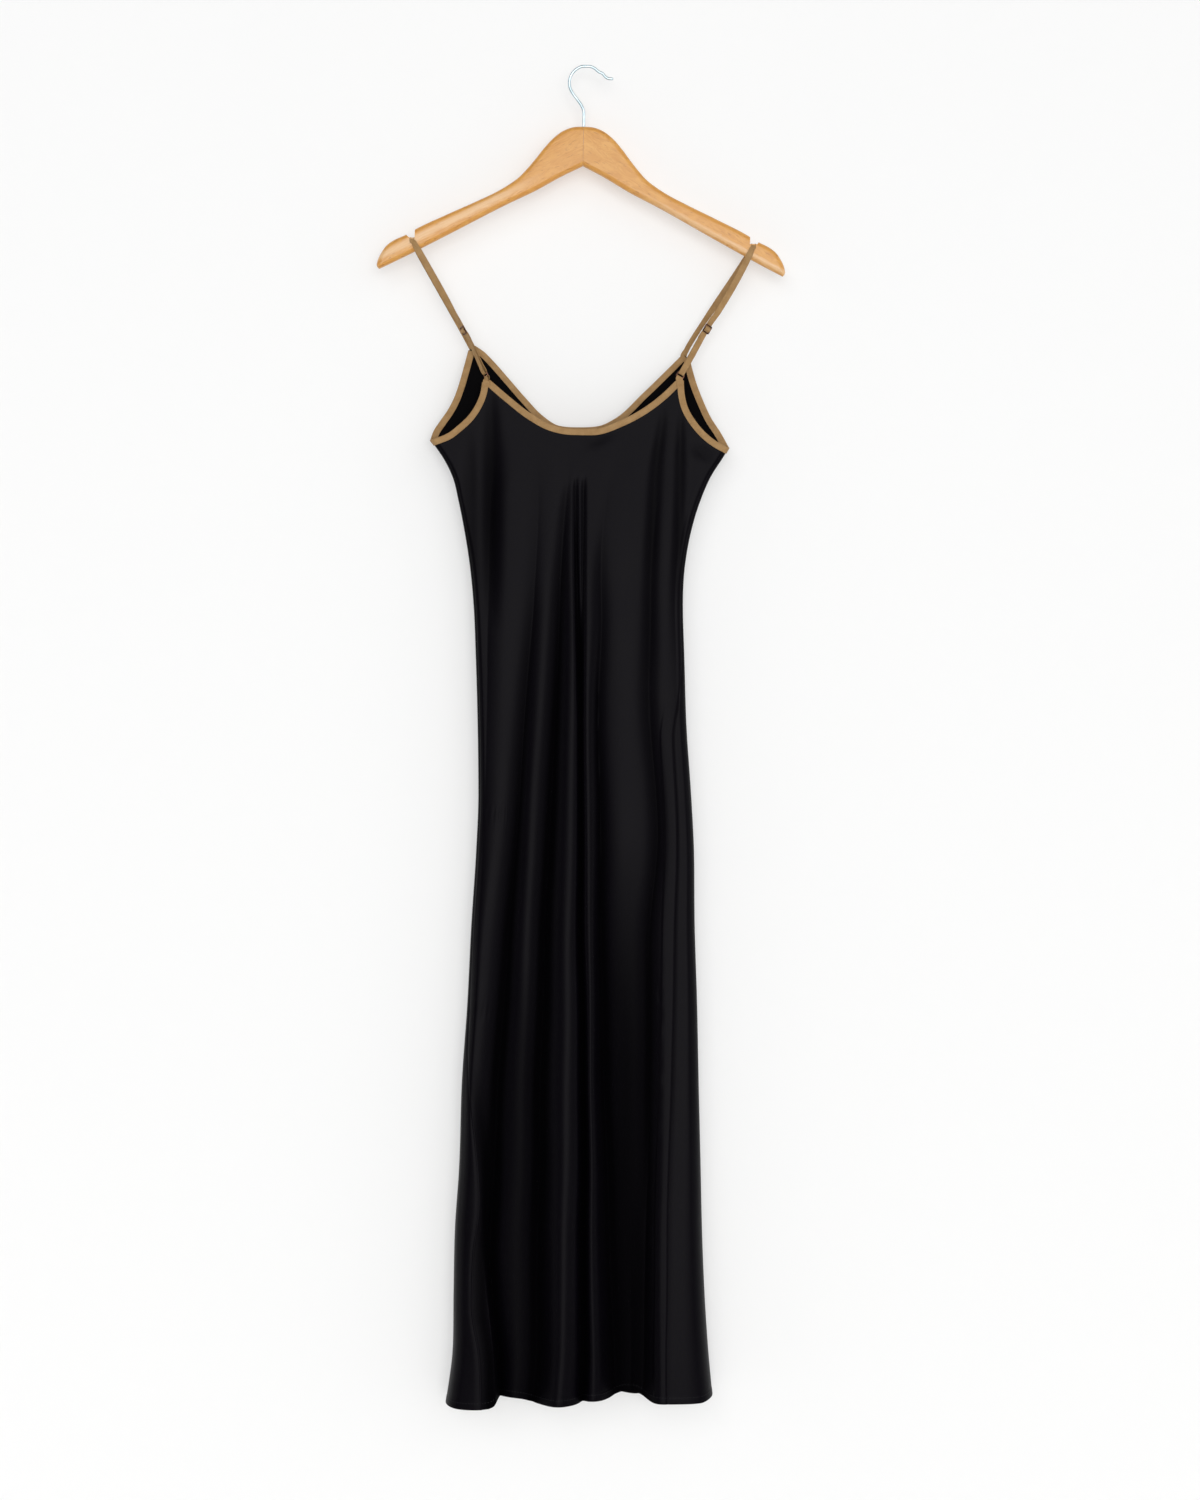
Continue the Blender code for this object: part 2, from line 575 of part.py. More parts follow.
def sweep(name, rings, cap, material):
    """Joins equal rings of points one after another and closes both ends with the cap faces."""
    stations, count = rings.shape[:2]
    index = np.arange(stations * count).reshape(stations, count)
    beside = np.roll(index, -1, axis=1)
    quads = np.stack([index[:-1], beside[:-1], beside[1:], index[1:]], axis=-1).reshape(-1, 4)
    faces = [tuple(q) for q in quads]
    faces += [tuple(index[0, list(f)][::-1]) for f in cap] + [tuple(index[-1, list(f)]) for f in cap]
    return place_mesh(name, rings.reshape(-1, 3), faces, material)


def spaced(places, heights, least):
    """Drops points that lie closer than least to the one before, but keeps both ends."""
    points = cloth_point(places, heights)
    kept = [0]
    for k in range(1, len(points) - 1):
        if np.linalg.norm(points[k] - points[kept[-1]]) >= least:
            kept.append(k)
    if np.linalg.norm(points[-1] - points[kept[-1]]) < least:
        kept.pop()
    kept.append(len(points) - 1)
    return places[kept], heights[kept]


def edge_frame(places, heights):
    """Points along a top edge with the cloth's normal, the run of the edge, and the way down the cloth."""
    on_cloth = cloth_point(places, heights)
    normal = cloth_normal(places, heights)
    run = np.gradient(on_cloth, axis=0)
    run /= np.linalg.norm(run, axis=1, keepdims=True)
    down = np.cross(normal, run)
    down /= np.linalg.norm(down, axis=1, keepdims=True)
    down *= np.sign(-down[len(down) // 2, 2])
    return on_cloth, normal, run, down


def neck_binding(name, places, heights, corners, armhole_spans):
    """A neck binding between two armhole bindings, its ends cut along theirs."""
    first, last = corners
    run_places = places[first : last + 1]
    run_heights = heights[first : last + 1]
    stations = np.arange(len(run_places), dtype=float)
    fine = np.linspace(0, len(run_places) - 1, FINE_STEPS)
    fine_points = cloth_point(np.interp(fine, stations, run_places), np.interp(fine, stations, run_heights))
    middle = fine_points[len(fine) // 2]
    ends, cuts = [], []
    for span in armhole_spans:
        points, normal, _, down = edge_frame(places[span], heights[span])
        feet = points + down * BINDING_WIDTH
        along = unit(feet[1] - feet[0])
        away = unit(np.cross(normal[0], along))
        away *= np.sign(np.dot(middle - feet[0], away))
        clear = (fine_points - feet[0]) @ away >= CUT_AIR
        ends.append(fine[clear])
        cuts.append(along)
    start, end = ends[0][0], ends[1][-1]
    inner = stations[(stations > start + LEAST_STEP) & (stations < end - LEAST_STEP)]
    at = np.concatenate([[start], inner, [end]])
    run_places, run_heights = np.interp(at, stations, run_places), np.interp(at, stations, run_heights)
    return binding(name, run_places, run_heights, NECK_LEAF_STEPS, cuts)


def make_bindings():
    places, heights, corners = front_edge()
    spans = (slice(corners[1], 0, -1), slice(corners[4], len(places) - 1))
    neck_binding("front_neck_binding", places, heights, corners[2:4], spans)
    back_places, back_heights, back_corners = back_edge()
    back_spans = (slice(back_corners[1], 0, -1), slice(back_corners[4], len(back_places) - 1))
    neck_binding("back_neck_binding", back_places, back_heights, back_corners[2:4], back_spans)
    armholes = (
        ("left_armhole_binding", spans[0], 2, slice(len(back_places) - 1, back_corners[4] - 1, -1)),
        ("right_armhole_binding", spans[1], 0, slice(0, back_corners[1] + 1)),
    )
    for name, front, turn, rear in armholes:
        round_places = np.concatenate([places[front] + turn, back_places[rear]])
        round_heights = np.concatenate([heights[front], back_heights[rear]])
        binding(name, *spaced(round_places, round_heights, LEAST_STATION), ARMHOLE_LEAF_STEPS)


# Straps, rings and sliders


def unit(vector):
    return np.asarray(vector, float) / np.linalg.norm(vector)


def hung(out, z, side):
    """A point of the hanger's own frame as it hangs, leaning."""
    x = JOINT_X + side * out
    return x * math.cos(LEAN) + z * math.sin(LEAN), -x * math.sin(LEAN) + z * math.cos(LEAN)


def frame_at(row):
    """Ring centre, slider centre, direction up the strap, and the width and face directions there."""
    ring = np.array([row[0], FRONT_STRAP_Y, row[1]])
    slider = np.array([row[3], FRONT_STRAP_Y, row[4]])
    up = unit(slider - ring)
    across = unit(np.cross((0, 1, 0), up))
    face = np.cross(across, up)
    face = face * np.sign(-face[1])
    return ring, slider, up, across, face


def turned(across, face, degrees):
    """The width and face directions after a turn about the strap's own line."""
    a = math.radians(degrees)
    return across * math.cos(a) + face * math.sin(a), face * math.cos(a) - across * math.sin(a)


def ribbon(name, centres, widths, faces_out, material="bronze_satin"):
    """A flat tape along centres; faces_out points out of its face, roughly, at each."""
    centres = np.asarray(centres, float)
    run = np.gradient(centres, axis=0)
    run /= np.linalg.norm(run, axis=1, keepdims=True)
    across = np.asarray(widths, float)
    across -= run * np.sum(across * run, axis=1, keepdims=True)
    half = np.linalg.norm(np.asarray(widths, float), axis=1, keepdims=True) / 2
    across = across / np.linalg.norm(across, axis=1, keepdims=True) * half
    out = np.cross(across, run)
    out *= np.sign(np.sum(out * faces_out, axis=1, keepdims=True))
    out = out / np.linalg.norm(out, axis=1, keepdims=True) * TAPE_WALL / 2
    corners = [across + out, out - across, -across - out, across - out]
    rings = np.stack([centres + corner for corner in corners], axis=1)
    return sweep(name, rings, ((0, 1, 2, 3),), material)


def strap_route(row, back_end, side):
    """Centres, width vectors and face directions of one strap, from its sewn end to its looped end."""
    ring, slider, up, across, face = frame_at(row)
    notch_out = NOTCH_CENTRE - (LEFT_NOTCH_IN if side < 0 else 0)
    notch_x, notch_z = hung(notch_out, NOTCH_FLOOR, side)
    level = np.array([math.cos(LEAN), 0, -math.sin(LEAN)])
    flat = ARM_THICK / 2 - ARM_ROUNDING
    bend = HANGER_STRAP_Y - flat
    corner = [(flat + bend * math.cos(a), bend * math.sin(a) - ARM_ROUNDING) for a in np.radians(NOTCH_BEND)]
    over = corner + [(-y, z) for y, z in reversed(corner)]
    centres, widths, faces = [], [], []

    def add(point, width, out):
        centres.append(np.asarray(point, float))
        widths.append(width)
        faces.append(out)

    notch = np.array([notch_x, 0, notch_z])
    rear_top = notch + (0, HANGER_STRAP_Y, -LEG_DROP)
    rear = unit(rear_top - back_end)
    rear_across = unit(np.cross((0, 1, 0), rear))
    rear_across *= np.sign(rear_across[0])
    for share in REAR_LEG_SHARES:
        width = STRAP_WIDTH + (NOTCH_STRAP_WIDTH - STRAP_WIDTH) * ease((share - 0.6) / 0.4)
        add(back_end + (rear_top - back_end) * share, rear_across * width, (0, 1, 0))
    for y, z in over:
        out = unit((0, math.copysign(max(abs(y) - flat, 0.01), y), max(z + ARM_ROUNDING, 0)))
        add(notch + (0, y, z), level * NOTCH_STRAP_WIDTH, out)
    front_top = notch + (0, -HANGER_STRAP_Y, -LEG_DROP)
    across = across * np.sign(across[0])
    # Down to the slider, then through it and the ring and back up behind
    for share in FRONT_LEG_SHARES:
        turn = row[5] * ease(share)
        width_now = NOTCH_STRAP_WIDTH + (STRAP_WIDTH - NOTCH_STRAP_WIDTH) * ease(share / 0.35)
        w, f = turned(across, face, turn)
        goal = slider + up * ABOVE_SLIDER
        add(front_top + (goal - front_top) * share, w * width_now, f)
    bar = (SLIDER_OUTER[1] - 2 * METAL_RADIUS) / 2
    weave = METAL_RADIUS + GAP + TAPE_WALL / 2 + HAIR
    back_weave = weave + TAPE_WALL + GAP + HAIR
    w, f = turned(across, face, row[5])
    for s in SLIDER_STATIONS:
        inside = abs(s) <= bar
        n = weave * math.cos(math.pi * s / bar) if inside else -weave
        add(slider + up * s + f * n, w * STRAP_WIDTH, f)
    lower = (RING_OUTER[1] - 2 * METAL_RADIUS) / 2
    below = SLIDER_STATIONS[-1]
    span = np.linalg.norm(slider - ring) + below - lower
    for share in LOOP_SHARES:
        turn = row[5] + (row[2] - row[5]) * share
        w, f = turned(across, face, turn)
        n = -weave + 2 * weave * ease(share)
        width_now = STRAP_WIDTH + (RING_STRAP_WIDTH - STRAP_WIDTH) * ease(share)
        add(slider + up * (below - span * share) + f * n, w * width_now, f)
    w, f = turned(across, face, row[2])
    centre = ring + up * lower
    for a in np.radians(RING_BEND):
        out = f * math.cos(a) - up * math.sin(a)
        add(centre + out * weave, w * RING_STRAP_WIDTH, out)
    for share in (*reversed(LOOP_SHARES), 0):
        turn = row[5] + (row[2] - row[5]) * share
        w, f = turned(across, face, turn)
        n = -back_weave + (back_weave - weave) * ease(share)
        width_now = STRAP_WIDTH + (RING_STRAP_WIDTH - STRAP_WIDTH) * ease(share)
        add(slider + up * (below - span * share) + f * n, w * width_now, -f)
    w, f = turned(across, face, row[5])
    for s, share in SEWN_END:
        n = weave + (back_weave - weave) * share
        add(slider + up * s - f * n, w * (STRAP_WIDTH - SEWN_END_NARROWER), -f)
    return np.array(centres), np.array(widths), np.array(faces)


def wire_loop(name, centre, across, up, size, bars=()):
    """A wire frame with rounded corners and, for a slider, a bar across its middle."""
    half_w = size[0] / 2 - METAL_RADIUS
    half_h = size[1] / 2 - METAL_RADIUS
    route = []
    for quarter, (sx, sy) in enumerate(((1, 1), (-1, 1), (-1, -1), (1, -1))):
        for degrees in (0, 30, 60, 90):
            a = math.radians(quarter * 90 + degrees)
            x = sx * (half_w - METAL_CORNER) + METAL_CORNER * math.cos(a)
            y = sy * (half_h - METAL_CORNER) + METAL_CORNER * math.sin(a)
            route.append(centre + across * x + up * y)
    frame = wire(name, route, METAL_RADIUS, closed=True, sides=8)
    for offset in bars:
        ends = [centre + up * offset - across * half_w, centre + up * offset + across * half_w]
        rod = wire(name + "_bar", ends, METAL_RADIUS, closed=False, sides=8)
        join = frame.modifiers.new("bar", "BOOLEAN")
        join.operation = "UNION"
        join.object = rod
        rod.hide_render = True
        rod.display_type = "WIRE"
    return frame


def wire(name, route, radius, closed, sides, material="bronze_metal"):
    """A round wire along a route, with rings of points square to it."""
    route = np.asarray(route, float)
    if closed:
        run = np.roll(route, -1, axis=0) - np.roll(route, 1, axis=0)
    else:
        run = np.gradient(route, axis=0)
    run /= np.linalg.norm(run, axis=1, keepdims=True)
    plane = unit(np.cross(route[0] - route.mean(axis=0), run[0])) if closed else np.array((0.0, 1.0, 0.0))
    side = np.cross(run, plane)
    side /= np.linalg.norm(side, axis=1, keepdims=True)
    lift = np.cross(side, run)
    angles = np.arange(sides) * 2 * math.pi / sides
    rings = route[:, None] + radius * (
        np.cos(angles)[None, :, None] * side[:, None] + np.sin(angles)[None, :, None] * lift[:, None]
    )
    if not closed:
        return sweep(name, rings, (tuple(range(sides)),), material)
    stations = len(route)
    index = np.arange(stations * sides).reshape(stations, sides)
    beside = np.roll(index, -1, axis=1)
    quads = np.stack([index, beside, np.roll(beside, -1, axis=0), np.roll(index, -1, axis=0)], axis=-1)
    return place_mesh(name, rings.reshape(-1, 3), quads.reshape(-1, 4), material)


def ring_tab(name, row, peak, out):
    """A short tape folded over the ring's lower bar, its two leaves on either side of the binding."""
    ring, _, up, across, face = frame_at(row)
    across = across * np.sign(across[0])
    lower = (RING_OUTER[1] - 2 * METAL_RADIUS) / 2
    loop = METAL_RADIUS + TAPE_WALL / 2 + GAP + TAB_LOOP_AIR
    spread = PANEL_WALL / 2 + BINDING_GAP + 1.5 * TAPE_WALL + GAP + TAB_LEAF_AIR
    bar = ring - up * lower
    level = unit(peak[1] - peak[0])
    down = np.array([0.0, 0.0, -1.0])
    mid = peak.mean(axis=0) - out * PANEL_WALL / 2
    centres, widths, faces = [], [], []
    w, f = turned(across, face, row[2])
    for share in TAB_LEAF_SHARES:
        centres.append(mid + down * TAB_REACH * (1 - share / TAB_LIP_SHARE) + out * spread)
        widths.append(level * STRAP_WIDTH)
        faces.append(out)
    straight = [(0, TAB_STRAIGHT), *((degrees, 0) for degrees in RING_BEND), (180, TAB_STRAIGHT)]
    for degrees, drop in straight:
        a = math.radians(degrees)
        direction = f * math.cos(a) + up * math.sin(a)
        centres.append(bar + direction * loop - up * drop)
        widths.append(w * RING_STRAP_WIDTH)
        faces.append(direction)
    for share in reversed(TAB_LEAF_SHARES):
        centres.append(mid + down * TAB_REACH * (1 - share / TAB_LIP_SHARE) - out * spread)
        widths.append(level * STRAP_WIDTH)
        faces.append(-out)
    return ribbon(name, np.array(centres), np.array(widths), np.array(faces))


def make_straps():
    front_places, front_heights, front_corners = front_edge()
    back_places, back_heights, back_corners = back_edge()
    sides = (
        ("left", -1, LEFT_STRAP, front_corners[1:3], back_corners[3:5]),
        ("right", 1, RIGHT_STRAP, front_corners[3:5], back_corners[1:3]),
    )
    for side_name, side, row, front_peak, back_peak in sides:
        ring, slider, up, across, face = frame_at(row)
        across = across * np.sign(across[0])
        back_corner = cloth_point(back_places[back_peak], back_heights[back_peak])
        back_normal = cloth_normal(back_places[back_peak], back_heights[back_peak]).mean(axis=0)
        start = back_corner.mean(axis=0) - unit(back_normal) * PANEL_WALL / 2
        rise = np.array([side * math.cos(STRAP_FOOT_RISE), 0, math.sin(STRAP_FOOT_RISE)])
        start = start + rise * (BINDING_GAP + TAPE_WALL + STRAP_FOOT_CLEAR)
        ribbon(f"{side_name}_strap", *strap_route(row, start, side))
        w, _ = turned(across, face, row[2])
        wire_loop(f"{side_name}_ring", ring, w, up, RING_OUTER)
        w, _ = turned(across, face, row[5])
        wire_loop(f"{side_name}_slider", slider, w, up, SLIDER_OUTER, bars=(0.0,))
        peak = cloth_point(front_places[front_peak], front_heights[front_peak])
        out = unit(cloth_normal(front_places[front_peak], front_heights[front_peak]).mean(axis=0))
        ring_tab(f"{side_name}_ring_tab", row, peak, out)


# Hanger


def lean_frame():
    """The empty that everything of the hanger hangs from."""
    frame = bpy.data.objects.new("hanger_lean", None)
    bpy.context.collection.objects.link(frame)
    frame.rotation_euler = (0, LEAN, 0)
    return frame


def make_arm(name, side, frame):
    """Half of the hanger, cut out flat, with its edges rounded and half of the shank's hole."""
    shift, rise = (LEFT_NOTCH_IN, LEFT_LIP_RISE) if side < 0 else (0, 0)
    lip = (ARM_TOP[-1][0] - shift, ARM_TOP[-1][1] + rise)
    notch = [(out - shift, z) for out, z in ARM_NOTCH]
    outline = [*ARM_TOP[:-1], lip, *notch, *ARM_END, *ARM_UNDERSIDE]
    outline = [(max(out, GAP / 2), z) for out, z in outline]
    shape = bmesh.new()
    weight = shape.edges.layers.float.new("bevel_weight_edge")
    y = -ARM_THICK / 2 * MM
    front = [shape.verts.new(((JOINT_X + side * out) * MM, y, z * MM)) for out, z in outline]
    face = shape.faces.new(front)
    grown = bmesh.ops.extrude_face_region(shape, geom=[face])["geom"]
    moved = [part for part in grown if isinstance(part, bmesh.types.BMVert)]
    bmesh.ops.translate(shape, verts=moved, vec=(0, ARM_THICK * MM, 0))
    bmesh.ops.recalc_face_normals(shape, faces=shape.faces)
    joint_x = (JOINT_X + side * GAP / 2) * MM
    for edge in shape.edges:
        a, b = edge.verts
        at_joint = abs(a.co.x - joint_x) < 1e-7 and abs(b.co.x - joint_x) < 1e-7
        edge[weight] = 1.0 if abs(a.co.y - b.co.y) < 1e-7 and not at_joint else 0.0
    mesh = bpy.data.meshes.new(name)
    shape.to_mesh(mesh)
    shape.free()
    mesh.materials.append(finish("beech"))
    arm = bpy.data.objects.new(name, mesh)
    bpy.context.collection.objects.link(arm)
    arm.parent = frame
    rounding = arm.modifiers.new("rounding", "BEVEL")
    rounding.limit_method = "WEIGHT"
    rounding.width = ARM_ROUNDING * MM
    rounding.segments = 2
    rounding.use_clamp_overlap = False
    hole = arm.modifiers.new("shank hole", "BOOLEAN")
    hole.object = shank_cutter(frame)
    return arm


def shank_cutter(frame):
    if "shank_hole" in bpy.data.objects:
        return bpy.data.objects["shank_hole"]
    route = [(JOINT_X, 0, ARM_TOP[0][1] - SHANK_DEPTH), (JOINT_X, 0, HOLE_TOP)]
    cutter = wire("shank_hole", route, WIRE_RADIUS + GAP, closed=False, sides=12, material="beech")
    cutter.parent = frame
    cutter.hide_render = True
    cutter.display_type = "WIRE"
    return cutter


def make_hook(frame):
    centre_z = WIRE_RADIUS - HOOK_RADIUS
    bend = [
        (HOOK_CENTRE_X + HOOK_RADIUS * math.cos(a), centre_z + HOOK_RADIUS * math.sin(a))
        for a in np.radians(np.linspace(*HOOK_SWEEP, HOOK_BEND_POINTS))
    ]
    flat = curve_through([*HOOK_NECK, *bend, *HOOK_TIP], np.linspace(0, 1, HOOK_STEPS + 1))
    route = np.stack([flat[:, 0], np.zeros(len(flat)), flat[:, 1]], axis=1)
    hook = wire("hook", route, WIRE_RADIUS, closed=False, sides=8, material="steel_wire")
    hook.parent = frame


clear_scene()
make_panels()
make_bindings()
make_straps()
hanger = lean_frame()
make_arm("hanger_arm_left", -1, hanger)
make_arm("hanger_arm_right", 1, hanger)
make_hook(hanger)
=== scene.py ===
# A satin slip dress on its wooden hanger: the looks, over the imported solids.
# Sizes are in millimetres until a mesh is made. +X is to the viewer's right, +Z is up and
# the lower-cut front faces -Y. The origin is under the hook's bend. The cloth is one loop
# at each height: places 0 to 1 run along the front from the left edge, 1 to 2 back along
# the rear, and 2 to 3 along the front again.
import math

import bmesh
import bpy
import numpy as np
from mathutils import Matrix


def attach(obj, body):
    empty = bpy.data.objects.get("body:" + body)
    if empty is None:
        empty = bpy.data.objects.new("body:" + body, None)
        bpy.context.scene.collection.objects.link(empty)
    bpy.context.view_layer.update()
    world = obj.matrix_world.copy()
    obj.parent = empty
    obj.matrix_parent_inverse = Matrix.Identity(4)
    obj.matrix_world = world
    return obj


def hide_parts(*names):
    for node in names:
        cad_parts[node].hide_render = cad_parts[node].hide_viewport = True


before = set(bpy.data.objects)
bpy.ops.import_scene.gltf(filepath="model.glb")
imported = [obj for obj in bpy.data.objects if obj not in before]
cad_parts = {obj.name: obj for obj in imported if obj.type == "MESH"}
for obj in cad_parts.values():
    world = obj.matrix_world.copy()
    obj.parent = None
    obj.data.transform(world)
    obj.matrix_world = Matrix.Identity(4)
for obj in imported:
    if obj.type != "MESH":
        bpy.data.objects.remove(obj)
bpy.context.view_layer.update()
mm = 0.001
print("frame loaded")

# Camera, wall, floor and light

studio = {
    "imageSize": (1200, 1500),
    "pixel": 1.088,  # mm across one pixel at the hanger
    "originPixel": (587.0, 67.6),
    "distance": 3600.0,
    "sensor": 36.0,
    "clipEnd": 50,  # metres
    "wallY": 32.0,
    "wallSize": 9000.0,
    "floorZ": -1660.0,
    "wallColour": (0.85, 0.85, 0.847),
    "wallGlow": 0.37,  # share of the wall's tone that it gives off by itself
    "wallLit": 0.90,  # the tone of the fully lit wall
    "patchScale": 1.1,  # of the faint uneven patches in the paint
    "patchDetail": 4,
    "patchShade": 0.985,
    "floorColour": (0.78, 0.775, 0.765),
    "worldColour": (0.93, 0.96, 1.0),
    "worldStrength": 0.16,
    # name, degrees to the right of the camera, degrees up, degrees wide, strength, colour
    "suns": (
        ("keyLight", 5, 0, 34, 1.3, (1.0, 0.995, 0.985)),
        ("softLight", 9, 14, 76, 0.6, (1.0, 0.995, 0.985)),
        ("sideLight", 50, 14, 60, 0.55, (0.98, 0.99, 1.0)),
        ("fillLight", -18, 20, 34, 0.42, (0.985, 0.99, 1.0)),
        ("backLight", 205, 30, 60, 1.6, (1.0, 0.99, 0.97)),
        ("leftEdgeLight", -82, 6, 44, 0.5, (1.0, 1.0, 1.0)),
        ("rightEdgeLight", 82, 6, 44, 0.5, (1.0, 1.0, 1.0)),
    ),
}


def addObject(name, data):
    thing = bpy.data.objects.new(name, data)
    bpy.context.scene.collection.objects.link(thing)
    return thing


def addNode(tree, kind, **values):
    # a node with its settings and its plain input values
    node = tree.nodes.new(kind)
    for key, value in values.items():
        if key in node.bl_rna.properties:
            setattr(node, key, value)
        else:
            node.inputs[key].default_value = value
    return node


def makeCamera():
    data = bpy.data.cameras.new("camera")
    data.sensor_width = studio["sensor"]
    tall = studio["imageSize"][1] * studio["pixel"]
    data.lens = studio["sensor"] * studio["distance"] / tall
    data.clip_end = studio["clipEnd"]
    camera = addObject("camera", data)
    x = (studio["imageSize"][0] / 2 - studio["originPixel"][0]) * studio["pixel"]
    z = (studio["originPixel"][1] - studio["imageSize"][1] / 2) * studio["pixel"]
    camera.location = (x * mm, -studio["distance"] * mm, z * mm)
    camera.rotation_euler = (math.radians(90), 0, 0)
    bpy.context.scene.camera = camera


def makeWorld():
    world = bpy.data.worlds.new("paleRoom")
    world.use_nodes = True
    background = world.node_tree.nodes["Background"]
    background.inputs["Color"].default_value = (*studio["worldColour"], 1)
    background.inputs["Strength"].default_value = studio["worldStrength"]
    bpy.context.scene.world = world


def makeSuns():
    for name, right, up, wide, strength, colour in studio["suns"]:
        data = bpy.data.lights.new(name, "SUN")
        data.angle = math.radians(wide)
        data.energy = strength
        data.color = colour
        sun = addObject(name, data)
        sun.rotation_euler = (math.radians(90 - up), 0, math.radians(right))


def stageMaterial(name, colour):
    # seen from in front only; from behind, and for shadows, it lets everything through
    material = bpy.data.materials.new(name)
    material.use_nodes = True
    tree = material.node_tree
    tree.nodes.clear()
    lit = [c * (1 - studio["wallGlow"]) for c in colour]
    shaded = [c * studio["patchShade"] for c in lit]
    coordinates = addNode(tree, "ShaderNodeTexCoord")
    patches = addNode(tree, "ShaderNodeTexNoise", Scale=studio["patchScale"], Detail=studio["patchDetail"])
    tone = addNode(tree, "ShaderNodeMix", data_type="RGBA", A=(*shaded, 1), B=(*lit, 1))
    diffuse = addNode(tree, "ShaderNodeBsdfDiffuse")
    glow = addNode(tree, "ShaderNodeEmission", Strength=studio["wallGlow"] * studio["wallLit"])
    paint = addNode(tree, "ShaderNodeAddShader")
    clear = addNode(tree, "ShaderNodeBsdfTransparent")
    geometry = addNode(tree, "ShaderNodeNewGeometry")
    rays = addNode(tree, "ShaderNodeLightPath")
    unseen = addNode(tree, "ShaderNodeMath", operation="MAXIMUM")
    mix = addNode(tree, "ShaderNodeMixShader")
    output = addNode(tree, "ShaderNodeOutputMaterial")
    for source, target in (
        (coordinates.outputs["Object"], patches.inputs["Vector"]),
        (patches.outputs["Fac"], tone.inputs["Factor"]),
        (tone.outputs["Result"], diffuse.inputs["Color"]),
        (geometry.outputs["Backfacing"], unseen.inputs[0]),
        (rays.outputs["Is Shadow Ray"], unseen.inputs[1]),
        (unseen.outputs[0], mix.inputs["Fac"]),
        (diffuse.outputs[0], paint.inputs[0]),
        (glow.outputs[0], paint.inputs[1]),
        (paint.outputs[0], mix.inputs[1]),
        (clear.outputs[0], mix.inputs[2]),
        (mix.outputs[0], output.inputs["Surface"]),
    ):
        tree.links.new(source, target)
    return material


def makeStage():
    half = studio["wallSize"] / 2
    y, z = studio["wallY"], studio["floorZ"]
    wall = [(-half, y, z), (half, y, z), (half, y, z + 2 * half), (-half, y, z + 2 * half)]
    floor = [(-half, -half, z), (half, -half, z), (half, half, z), (-half, half, z)]
    pieces = (("wall", wall, studio["wallColour"]), ("floor", floor, studio["floorColour"]))
    for name, corners, colour in pieces:
        mesh = bpy.data.meshes.new(name)
        mesh.from_pydata([tuple(c * mm for c in corner) for corner in corners], [], [(0, 1, 2, 3)])
        mesh.materials.append(stageMaterial(name + "Paint", colour))
        addObject(name, mesh)


makeCamera()
makeWorld()
makeSuns()
makeStage()
bpy.context.scene.view_settings.view_transform = "Standard"
print("camera, light and stage made")

# Curves and meshes


def fallingCubic(x, heights, values):
    # a smooth curve through values at falling heights, with no overshoot, level beyond both ends
    xs = -np.asarray(heights, float)
    ys = np.asarray(values, float)
    x = np.clip(-np.asarray(x, float), xs[0], xs[-1])
    i = np.clip(np.searchsorted(xs, x, side="right") - 1, 0, len(xs) - 2)
    secant = np.diff(ys) / np.diff(xs)
    slope = np.gradient(ys, xs)
    before, after = np.append(secant[0], secant), np.append(secant, secant[-1])
    limit = np.where(before * after > 0, 3 * np.minimum(abs(before), abs(after)), 0)
    slope = np.clip(slope, -limit, limit)
    step = xs[i + 1] - xs[i]
    t = (x - xs[i]) / step
    low = (1 + 2 * t) * (1 - t) ** 2 * ys[i] + t * (1 - t) ** 2 * step * slope[i]
    high = t * t * (3 - 2 * t) * ys[i + 1] + t * t * (t - 1) * step * slope[i + 1]
    return low + high


def lengthAlong(points):
    # the length from the first point to each of the others
    return np.concatenate([[0], np.cumsum(np.linalg.norm(np.diff(points, axis=0), axis=1))])


def readAt(at, along, table):
    # each column of the table, read at these lengths along it
    return np.stack([np.interp(at, along, column) for column in table.T], axis=1)


def smoothAt(at, along, table):
    # the same on a smooth curve through the table's values
    return np.stack([fallingCubic(-at, -along, column) for column in table.T], axis=1)


def curveThrough(points, shares, fineSteps=1200):
    # points of a smooth curve through the given ones, at shares of its length
    points = np.asarray(points, float)
    along = lengthAlong(points)
    dense = smoothAt(np.linspace(0, along[-1], fineSteps), along, points)
    length = lengthAlong(dense)
    return readAt(shares * length[-1], length, dense)


def ease(t):
    # half a cosine wave, from 0 at 0 to 1 at 1
    return 0.5 - 0.5 * np.cos(np.pi * np.clip(t, 0, 1))


def bell(away):
    return np.exp(-away ** 2)


def unit(vector):
    vector = np.asarray(vector, float)
    return vector / np.linalg.norm(vector, axis=-1, keepdims=True)


def gridNormal(points):
    # the normal of a grid of points, from its neighbours along both ways
    return unit(np.cross(np.gradient(points, axis=1), np.gradient(points, axis=0)))


def meshPiece(name, points, faces, cornerUv, material, smooth=45):
    # an object from points in mm, its faces turned outwards by the sign of its volume
    points = np.asarray(points, float) * mm
    mesh = bpy.data.meshes.new(name)
    mesh.from_pydata(points.tolist(), [], [list(map(int, face)) for face in faces])
    if cornerUv is not None:
        layer = mesh.uv_layers.new(name="clothUv")
        layer.data.foreach_set("uv", np.asarray(cornerUv, np.float32).ravel() * mm)
    mesh.calc_loop_triangles()
    triangles = np.empty(len(mesh.loop_triangles) * 3, np.int32)
    mesh.loop_triangles.foreach_get("vertices", triangles)
    a, b, c = points[triangles.reshape(-1, 3)].transpose(1, 0, 2)
    if np.sum(a * np.cross(b, c)) < 0:
        mesh.flip_normals()
    mesh.shade_smooth()
    mesh.set_sharp_from_angle(angle=math.radians(smooth))
    mesh.materials.append(material)
    return addObject(name, mesh)


